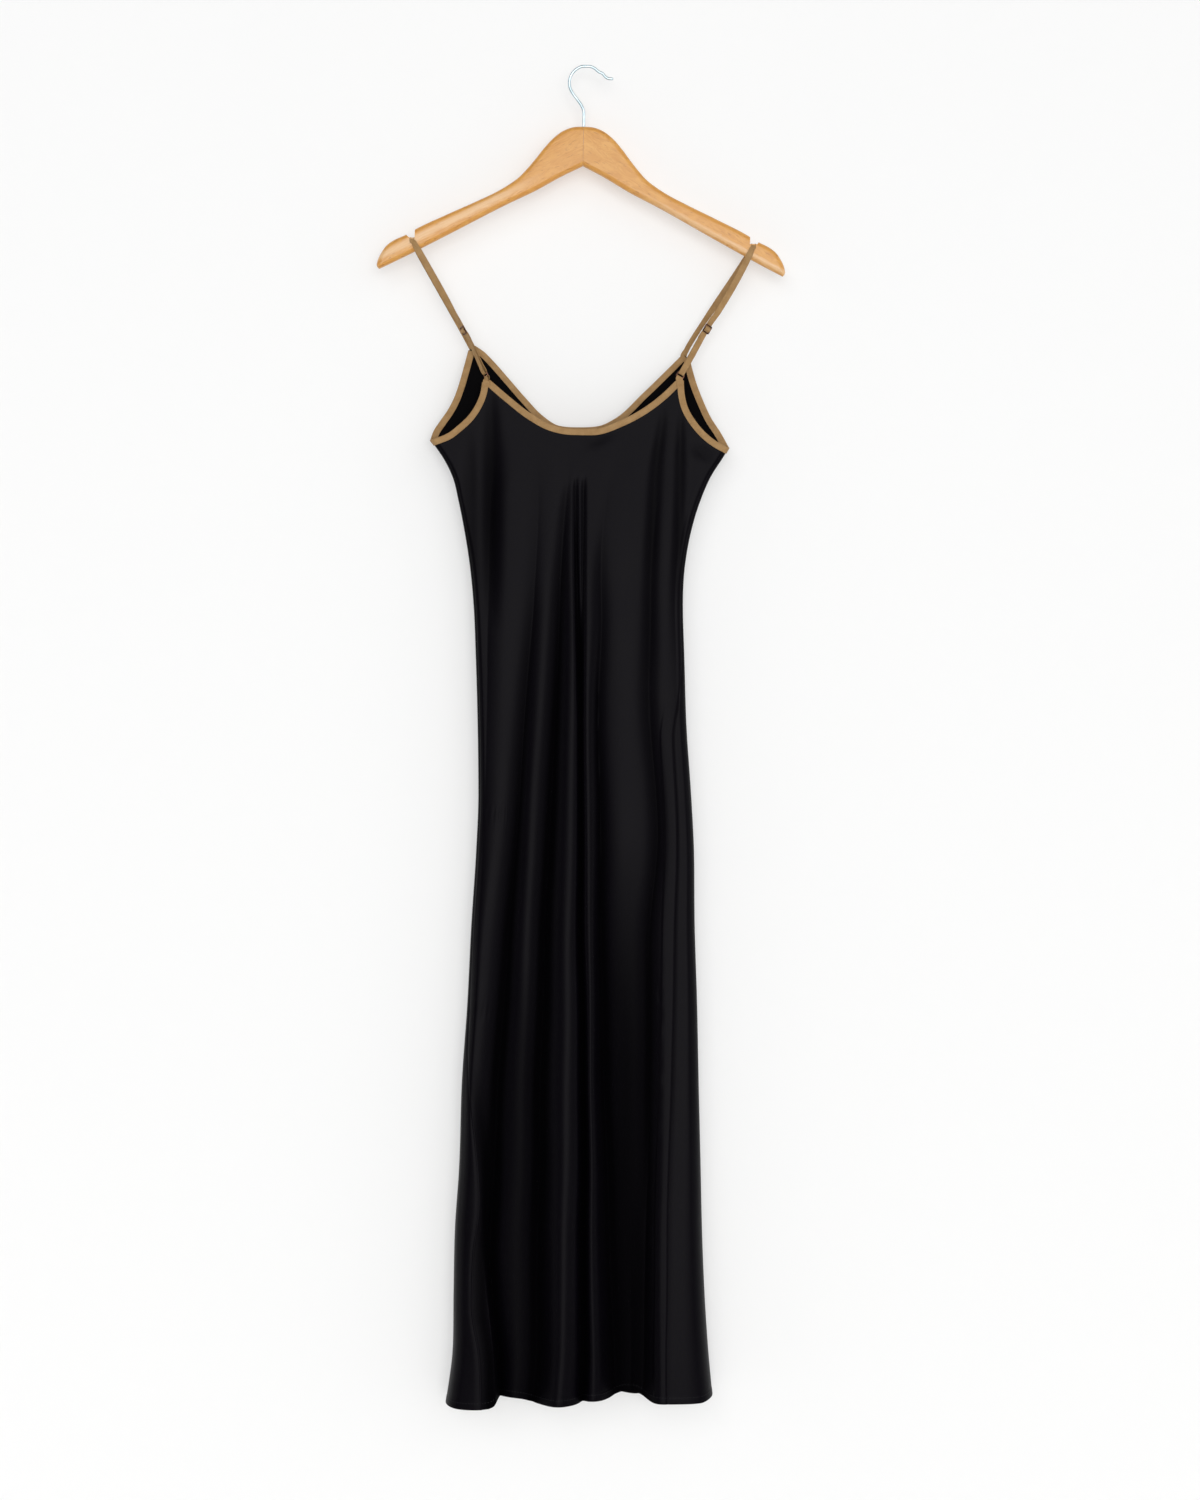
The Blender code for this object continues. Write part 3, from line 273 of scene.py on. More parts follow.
def gridQuads(index):
    # the four corners of each cell of a grid of point numbers
    corners = [index[:-1, :-1], index[:-1, 1:], index[1:, 1:], index[1:, :-1]]
    return np.stack(corners, axis=-1).reshape(-1, 4)


def shellPiece(name, outer, inner, uv, hollow, material, reverse):
    # a closed wall: the outer grid, the inner grid in its own finish and a rim round both
    rows, columns = outer.shape[:2]
    index = np.arange(rows * columns).reshape(rows, columns)
    quads = gridQuads(index)
    under = rows * columns
    rim = np.concatenate([index[0, :-1], index[:-1, -1], index[-1, :0:-1], index[:0:-1, 0]])
    following = np.roll(rim, -1)
    sides = np.stack([rim, rim + under, following + under, following], axis=-1)
    faces = np.concatenate([quads, quads[:, ::-1] + under, sides])
    points = np.concatenate([outer.reshape(-1, 3), inner.reshape(-1, 3)])
    flat = uv.reshape(-1, 2)
    cornerUv = np.concatenate([flat, flat])[faces.ravel()]
    thing = meshPiece(name, points, faces, cornerUv, material)
    thing.data.materials.append(reverse)
    finish = np.repeat([0, 1, 0], [len(quads), len(quads), len(sides)]).astype(np.int32)
    thing.data.polygons.foreach_set("material_index", finish)
    # the painted shade of the folds, read by the satin
    values = np.tile(hollow.ravel(), 2).astype(np.float32)
    thing.data.attributes.new("hollow", "FLOAT", "POINT").data.foreach_set("value", values)
    return thing


def loftPiece(name, rings, material, closedAlong=False):
    # equal rings joined one after another, with u round each ring and v along the piece
    stations, count = rings.shape[:2]
    index = np.arange(stations * count).reshape(stations, count)
    around = np.concatenate([index, index[:, :1]], axis=1)
    if closedAlong:
        around = np.concatenate([around, around[:1]])
    quads = gridQuads(around)
    middle = rings[stations // 2]
    u = lengthAlong(np.concatenate([middle, middle[:1]]))
    centres = rings.mean(axis=1)
    if closedAlong:
        centres = np.concatenate([centres, centres[:1]])
    v = lengthAlong(centres)
    grid = np.stack(np.meshgrid(u, v), axis=-1)
    cells = [grid[:-1, :-1], grid[:-1, 1:], grid[1:, 1:], grid[1:, :-1]]
    cornerUv = np.stack(cells, axis=2).reshape(-1, 2)
    faces = list(quads)
    if not closedAlong:
        faces += [index[0, ::-1], index[-1]]
        cornerUv = np.concatenate([cornerUv, np.repeat([[0, 0], [0, v[-1]]], count, axis=0)])
    return meshPiece(name, rings.reshape(-1, 3), faces, cornerUv, material)


# Materials


def mathNode(tree, operation, *values):
    node = addNode(tree, "ShaderNodeMath", operation=operation)
    for socket, value in zip(node.inputs, values):
        if isinstance(value, bpy.types.NodeSocket):
            tree.links.new(value, socket)
        else:
            socket.default_value = value
    return node.outputs[0]


def mixColours(tree, factor, first, second):
    node = addNode(tree, "ShaderNodeMix", data_type="RGBA")
    for key, value in (("Factor", factor), ("A", first), ("B", second)):
        socket = node.inputs[key]
        if isinstance(value, bpy.types.NodeSocket):
            tree.links.new(value, socket)
        else:
            socket.default_value = (*value, 1)
    return node.outputs["Result"]


def mapRange(tree, value, fromLow, fromHigh, toLow, toHigh):
    ends = {"From Min": fromLow, "From Max": fromHigh, "To Min": toLow, "To Max": toHigh}
    node = addNode(tree, "ShaderNodeMapRange", **ends)
    tree.links.new(value, node.inputs["Value"])
    return node.outputs["Result"]


def fromNoise(tree, noise, low, high):
    # noise lies mostly between 0.3 and 0.7
    return mapRange(tree, noise, 0.3, 0.7, low, high)


def noiseNode(tree, vector, **values):
    node = addNode(tree, "ShaderNodeTexNoise", **values)
    tree.links.new(vector, node.inputs["Vector"])
    return node


def newGroup(name, inputs, outputs):
    # a group that takes a vector and some numbers, and gives numbers
    group = bpy.data.node_groups.new(name, "ShaderNodeTree")
    group.interface.new_socket("Vector", in_out="INPUT", socket_type="NodeSocketVector")
    for label, value in inputs.items():
        socket = group.interface.new_socket(label, in_out="INPUT", socket_type="NodeSocketFloat")
        socket.default_value = value
    for label in outputs:
        group.interface.new_socket(label, in_out="OUTPUT", socket_type="NodeSocketFloat")
    return group, addNode(group, "NodeGroupInput"), addNode(group, "NodeGroupOutput")


def makeThreadsGroup():
    # woven threads: each square of the cloth is one thread, whose height is the square root of
    # how far in it is, and which dips under the next where column * step + row is on the repeat
    inputs = {"Thread": 0.0003, "Step": 2.0, "Repeat": 5.0}
    tree, start, end = newGroup("wovenThreads", inputs, ("Height", "Dip"))
    split = addNode(tree, "ShaderNodeSeparateXYZ")
    tree.links.new(start.outputs["Vector"], split.inputs[0])
    across = mathNode(tree, "DIVIDE", split.outputs["X"], start.outputs["Thread"])
    along = mathNode(tree, "DIVIDE", split.outputs["Y"], start.outputs["Thread"])
    column = mathNode(tree, "FLOOR", across)
    row = mathNode(tree, "FLOOR", along)
    turn = mathNode(tree, "MULTIPLY", column, start.outputs["Step"])
    number = mathNode(tree, "ADD", turn, row)
    place = mathNode(tree, "FLOORED_MODULO", number, start.outputs["Repeat"])
    dips = mathNode(tree, "LESS_THAN", place, 0.5)
    sideways = mathNode(tree, "PINGPONG", mathNode(tree, "FRACT", across), 0.5)
    lengthways = mathNode(tree, "PINGPONG", mathNode(tree, "FRACT", along), 0.5)
    roundOver = mathNode(tree, "POWER", mathNode(tree, "MULTIPLY", sideways, 2.0), 0.5)
    roundUnder = mathNode(tree, "POWER", mathNode(tree, "MULTIPLY", lengthways, 2.0), 0.5)
    dipping = mathNode(tree, "MULTIPLY", dips, roundUnder)
    # a dipping thread keeps 0.45 of its height
    kept = mathNode(tree, "SUBTRACT", 1.0, mathNode(tree, "MULTIPLY", dips, 0.55))
    tree.links.new(mathNode(tree, "MULTIPLY", roundOver, kept), end.inputs["Height"])
    tree.links.new(dipping, end.inputs["Dip"])
    return tree


def makeUnevenGroup():
    # slow light and dark patches, and a fine mottling 24 times smaller
    tree, start, end = newGroup("unevenDye", {"Scale": 20.0}, ("Tone", "Fine"))
    slow = noiseNode(tree, start.outputs["Vector"], Detail=3.0, Roughness=0.55)
    fine = noiseNode(tree, start.outputs["Vector"], Detail=2.0, Roughness=0.6)
    tree.links.new(start.outputs["Scale"], slow.inputs["Scale"])
    tree.links.new(mathNode(tree, "MULTIPLY", start.outputs["Scale"], 24.0), fine.inputs["Scale"])
    tree.links.new(slow.outputs["Fac"], end.inputs["Tone"])
    tree.links.new(fine.outputs["Fac"], end.inputs["Fine"])
    return tree


def makeGrainGroup():
    # wood with its grain along X: noise pulled long, as broad bands, fine fibre and short flecks
    tree, start, end = newGroup("woodGrain", {}, ("Bands", "Fibre", "Flecks"))

    def pulledLong(scales, **values):
        longer = addNode(tree, "ShaderNodeVectorMath", operation="MULTIPLY")
        longer.inputs[1].default_value = scales
        tree.links.new(start.outputs["Vector"], longer.inputs[0])
        return noiseNode(tree, longer.outputs[0], Scale=1.0, **values).outputs["Fac"]

    bands = pulledLong((34, 90, 120), Detail=4.0, Roughness=0.62, Distortion=2.6)
    fibre = pulledLong((60, 900, 1200), Detail=3.0, Roughness=0.6, Distortion=0.4)
    flecks = pulledLong((110, 500, 640), Detail=2.0, Roughness=0.55, Distortion=0.3)
    tree.links.new(bands, end.inputs["Bands"])
    tree.links.new(fibre, end.inputs["Fibre"])
    tree.links.new(mapRange(tree, flecks, 0.60, 0.70, 0.0, 1.0), end.inputs["Flecks"])
    return tree


threadsGroup = makeThreadsGroup()
unevenGroup = makeUnevenGroup()
grainGroup = makeGrainGroup()


def newMaterial(name, **values):
    # a material whose shader has these plain values, with spaces for the underscores
    material = bpy.data.materials.new(name)
    material.use_nodes = True
    shader = material.node_tree.nodes["Principled BSDF"]
    for key, value in values.items():
        socket = shader.inputs[key.replace("_", " ")]
        socket.default_value = (*value, 1) if isinstance(value, tuple) else value
    return material, material.node_tree, shader


def addGroup(tree, group, vector, **values):
    node = addNode(tree, "ShaderNodeGroup", node_tree=group)
    tree.links.new(vector, node.inputs["Vector"])
    for key, value in values.items():
        node.inputs[key].default_value = value
    return node.outputs


def addCloth(tree, cloth):
    # the weave, turned on the piece's own UV map, and the uneven dye
    coordinates = addNode(tree, "ShaderNodeUVMap", uv_map="clothUv")
    turned = addNode(tree, "ShaderNodeMapping", Rotation=(0, 0, math.radians(cloth["bias"])))
    tree.links.new(coordinates.outputs["UV"], turned.inputs["Vector"])
    sizes = {"Thread": cloth["thread"], "Step": cloth["step"], "Repeat": cloth["repeat"]}
    threads = addGroup(tree, threadsGroup, turned.outputs[0], **sizes)
    return threads, addGroup(tree, unevenGroup, coordinates.outputs["UV"], Scale=cloth["dyeScale"])


def bumped(tree, shader, layers):
    # bump nodes one after another: height, how far it stands in metres, strength
    normal = None
    for height, distance, strength in layers:
        bump = addNode(tree, "ShaderNodeBump", Strength=strength, Distance=distance)
        tree.links.new(height, bump.inputs["Height"])
        if normal is not None:
            tree.links.new(normal, bump.inputs["Normal"])
        normal = bump.outputs["Normal"]
    tree.links.new(normal, shader.inputs["Normal"])


satin = {
    "bias": 45,  # degrees that the weave is turned by
    "thread": 0.00022,  # metres
    "step": 2.0,  # rows that each column's dip is shifted by
    "repeat": 5.0,  # threads from one dip to the next
    "dyeScale": 14.0,
    "colour": (0.0008, 0.0005, 0.0012),
    "colourLit": (0.0014, 0.0010, 0.0024),
    # painted shade: the colour in the bottoms of the folds
    "colourPaintedShade": (0.0004, 0.0003, 0.0006),
    "colourDip": (0.0006, 0.0005, 0.0008),
    "dipMix": 0.4,
    "roughness": (0.36, 0.42),
    "roughnessHollow": 0.80,  # in the bottom of a fold, under the painted shade
    "sheen": 0.05,
    "reverseColour": (0.0017, 0.0015, 0.0017),
    "reverseLit": (0.0029, 0.0026, 0.0030),
    "reverseRoughness": (0.6, 0.75),
}


def makeSatin():
    # painted shade: dark and matt where the fold-shade attribute is 1, in the bottoms of the folds, with a
    # soft sheen where it is 0
    material, tree, shader = newMaterial(
        "blackSatin", Specular_IOR_Level=0.02, Specular_Tint=(0.94, 0.88, 1.0), Coat_Roughness=0.37,
        Coat_IOR=1.5,
    )
    threads, uneven = addCloth(tree, satin)
    tone = mixColours(tree, uneven["Tone"], satin["colour"], satin["colourLit"])
    hollow = addNode(tree, "ShaderNodeAttribute", attribute_name="hollow").outputs["Fac"]
    shaded = mixColours(tree, hollow, tone, satin["colourPaintedShade"])
    dips = mathNode(tree, "MULTIPLY", threads["Dip"], satin["dipMix"])
    tree.links.new(mixColours(tree, dips, shaded, satin["colourDip"]), shader.inputs["Base Color"])
    even = fromNoise(tree, uneven["Tone"], *satin["roughness"])
    rough = mathNode(tree, "MULTIPLY", mathNode(tree, "SUBTRACT", satin["roughnessHollow"], even), hollow)
    tree.links.new(mathNode(tree, "ADD", even, rough), shader.inputs["Roughness"])
    tree.links.new(mapRange(tree, hollow, 0.0, 1.0, satin["sheen"], 0.0), shader.inputs["Coat Weight"])
    bumped(tree, shader, ((uneven["Tone"], 0.004, 0.10), (threads["Height"], 0.00004, 0.35)))
    return material


def makeSatinReverse():
    # the matt side of the cloth, which shows inside the dress
    material, tree, shader = newMaterial("satinReverse", Specular_IOR_Level=0.012)
    threads, uneven = addCloth(tree, satin)
    tone = mixColours(tree, uneven["Fine"], satin["reverseColour"], satin["reverseLit"])
    dips = mathNode(tree, "MULTIPLY", threads["Dip"], satin["dipMix"])
    tree.links.new(mixColours(tree, dips, tone, satin["colour"]), shader.inputs["Base Color"])
    tree.links.new(fromNoise(tree, uneven["Fine"], *satin["reverseRoughness"]), shader.inputs["Roughness"])
    bumped(tree, shader, ((threads["Height"], 0.00006, 0.5),))
    return material


tape = {
    "bias": 38,
    "thread": 0.00034,
    "step": 2.0,
    "repeat": 4.0,
    "dyeScale": 90.0,
    "colour": (0.268, 0.155, 0.062),
    "colourLit": (0.355, 0.218, 0.096),
    "colourDip": (0.10, 0.055, 0.022),
    "dipMix": 0.45,
    "roughness": (0.42, 0.56),
}


def makeTape():
    material, tree, shader = newMaterial(
        "bronzeSatin", Specular_IOR_Level=0.1, Sheen_Weight=0.05, Sheen_Roughness=0.4,
        Sheen_Tint=(0.95, 0.80, 0.55),
    )
    threads, uneven = addCloth(tree, tape)
    tone = mixColours(tree, fromNoise(tree, uneven["Tone"], 0, 1), tape["colour"], tape["colourLit"])
    dips = mathNode(tree, "MULTIPLY", threads["Dip"], tape["dipMix"])
    tree.links.new(mixColours(tree, dips, tone, tape["colourDip"]), shader.inputs["Base Color"])
    tree.links.new(fromNoise(tree, uneven["Fine"], *tape["roughness"]), shader.inputs["Roughness"])
    bumped(tree, shader, ((uneven["Tone"], 0.0008, 0.3), (threads["Height"], 0.00007, 0.6)))
    return material


def makeThread(name, colour):
    # sewing thread, mottled down to 0.7 of its colour
    material, tree, shader = newMaterial(name, Specular_IOR_Level=0.3)
    coordinates = addNode(tree, "ShaderNodeTexCoord")
    uneven = addGroup(tree, unevenGroup, coordinates.outputs["Object"], Scale=60.0)
    darker = tuple(c * 0.7 for c in colour)
    tree.links.new(mixColours(tree, uneven["Fine"], darker, colour), shader.inputs["Base Color"])
    tree.links.new(fromNoise(tree, uneven["Fine"], 0.45, 0.6), shader.inputs["Roughness"])
    bumped(tree, shader, ((uneven["Fine"], 0.00005, 0.5),))
    return material


wood = {
    "colour": (0.495, 0.218, 0.042),
    "colourPale": (0.640, 0.340, 0.085),
    "colourWarm": (0.575, 0.262, 0.054),
    "colourFleck": (0.300, 0.115, 0.025),
    # painted highlight: a pale band along each arm
    "colourHighlight": (0.660, 0.420, 0.215),
    # the levels of bands and fibre between which each mix comes in, and the mixes
    "bandLevels": (0.38, 0.62),
    "bandMix": (0.1, 0.85),
    "fibreLevels": (0.35, 0.75),
    "fibreMix": 0.4,
    "fleckMix": 0.8,
    "warmMix": 0.5,
    "glueLine": (0.56, 0.21),  # mm from the joint, between which it comes in
    "glueMix": 0.4,
    # each arm: slope of its grain in degrees, then its painted highlight, a pale band along it: place
    # across, half width, strength
    "left": (26.3, -84.9, 5.2, 0.95),
    "right": (-28.5, -94.4, 3.6, 0.95),
    "highlightWander": 6.0,  # mm that the bands push the painted highlight aside
    "highlightFrom": (45.0, 100.0),  # mm from the middle, between which it comes in
    "streakCore": 0.35,  # share of its half width that has its full strength
    "highlightFibre": (0.25, 0.6, 0.55, 1.0),  # two levels of the fibre, and the strengths there
    "warmScale": 11.0,
    "roughness": (0.34, 0.46),
}


def makeBeech(name, arm):
    # the grain runs along the sloping arm, with one pale band of painted highlight along it and dark glue
    # at the joint
    angle, middle, half, strength = wood[arm]
    material, tree, shader = newMaterial(
        name, Specular_IOR_Level=0.3, Coat_Weight=0.25, Coat_Roughness=0.16, Coat_IOR=1.5,
    )
    coordinates = addNode(tree, "ShaderNodeTexCoord").outputs["Object"]
    along = addNode(tree, "ShaderNodeMapping", Rotation=(0, math.radians(angle), 0))
    split = addNode(tree, "ShaderNodeSeparateXYZ")
    place = addNode(tree, "ShaderNodeSeparateXYZ")
    tree.links.new(coordinates, along.inputs["Vector"])
    tree.links.new(along.outputs[0], split.inputs[0])
    tree.links.new(coordinates, place.inputs[0])
    grain = addGroup(tree, grainGroup, along.outputs[0])
    uneven = addGroup(tree, unevenGroup, coordinates, Scale=wood["warmScale"])
    # the painted highlight: a pale band along the arm, pushed aside by the grain's bands
    wander = mathNode(tree, "MULTIPLY_ADD", grain["Bands"], wood["highlightWander"] * mm, split.outputs["Z"])
    centre = (middle + wood["highlightWander"] / 2) * mm
    away = mathNode(tree, "ABSOLUTE", mathNode(tree, "SUBTRACT", wander, centre))
    streak = mapRange(tree, away, half * mm, wood["streakCore"] * half * mm, 0.0, strength)
    fromMiddle = mathNode(tree, "ABSOLUTE", place.outputs["X"])
    fade = mapRange(tree, fromMiddle, *[d * mm for d in wood["highlightFrom"]], 0.0, 1.0)
    streak = mathNode(tree, "MULTIPLY", streak, fade)
    streak = mathNode(tree, "MULTIPLY", streak, mapRange(tree, grain["Fibre"], *wood["highlightFibre"]))
    slope = -math.tan(hanger["lean"])
    level = mathNode(tree, "MULTIPLY_ADD", place.outputs["Z"], slope, place.outputs["X"])
    fromJoint = mathNode(tree, "ABSOLUTE", mathNode(tree, "SUBTRACT", level, hanger["jointX"] * mm))
    glue = mapRange(tree, fromJoint, *[d * mm for d in wood["glueLine"]], 0.0, wood["glueMix"])
    wavy = mapRange(tree, grain["Bands"], *wood["bandLevels"], *wood["bandMix"])
    bands = mixColours(tree, wavy, wood["colour"], wood["colourPale"])
    fibreMask = mapRange(tree, grain["Fibre"], *wood["fibreLevels"], 0, wood["fibreMix"])
    fibre = mixColours(tree, fibreMask, bands, wood["colour"])
    fleckMask = mathNode(tree, "MULTIPLY", grain["Flecks"], wood["fleckMix"])
    flecked = mixColours(tree, fleckMask, fibre, wood["colourFleck"])
    warmMask = fromNoise(tree, uneven["Tone"], 0, wood["warmMix"])
    warmth = mixColours(tree, warmMask, flecked, wood["colourWarm"])
    # painted highlight over the wood's own colour
    highlighted = mixColours(tree, streak, warmth, wood["colourHighlight"])
    tree.links.new(mixColours(tree, glue, highlighted, wood["colourFleck"]), shader.inputs["Base Color"])
    tree.links.new(fromNoise(tree, grain["Fibre"], *wood["roughness"]), shader.inputs["Roughness"])
    bumped(tree, shader, ((grain["Fibre"], 0.00012, 0.25), (uneven["Tone"], 0.0006, 0.25)))
    return material


metals = {
    "wornLevels": (0.42, 0.62),
    # colour, worn colour, roughness, scale of the worn patches
    "steelWire": ((0.44, 0.54, 0.58), (0.62, 0.72, 0.76), (0.28, 0.4), 60.0),
    "antiqueBronze": ((0.035, 0.016, 0.012), (0.17, 0.078, 0.05), (0.26, 0.42), 260.0),
}


def makeMetal(name):
    # worn to the paler colour in patches
    colour, colourWorn, roughness, scale = metals[name]
    material, tree, shader = newMaterial(name, Metallic=1.0)
    coordinates = addNode(tree, "ShaderNodeTexCoord")
    uneven = addGroup(tree, unevenGroup, coordinates.outputs["Object"], Scale=scale)
    worn = mapRange(tree, uneven["Tone"], *metals["wornLevels"], 0, 1)
    tree.links.new(mixColours(tree, worn, colour, colourWorn), shader.inputs["Base Color"])
    tree.links.new(fromNoise(tree, uneven["Fine"], *roughness), shader.inputs["Roughness"])
    bumped(tree, shader, ((uneven["Fine"], 0.00003, 0.3),))
    return material


satinMaterial = makeSatin()
satinReverse = makeSatinReverse()
tapeMaterial = makeTape()
tapeThread = makeThread("bronzeThread", (0.30, 0.19, 0.095))
blackThread = makeThread("blackThread", (0.02, 0.02, 0.023))
wireMaterial = makeMetal("steelWire")
bronzeMaterial = makeMetal("antiqueBronze")
print("cloth and metal materials made")

# The dress

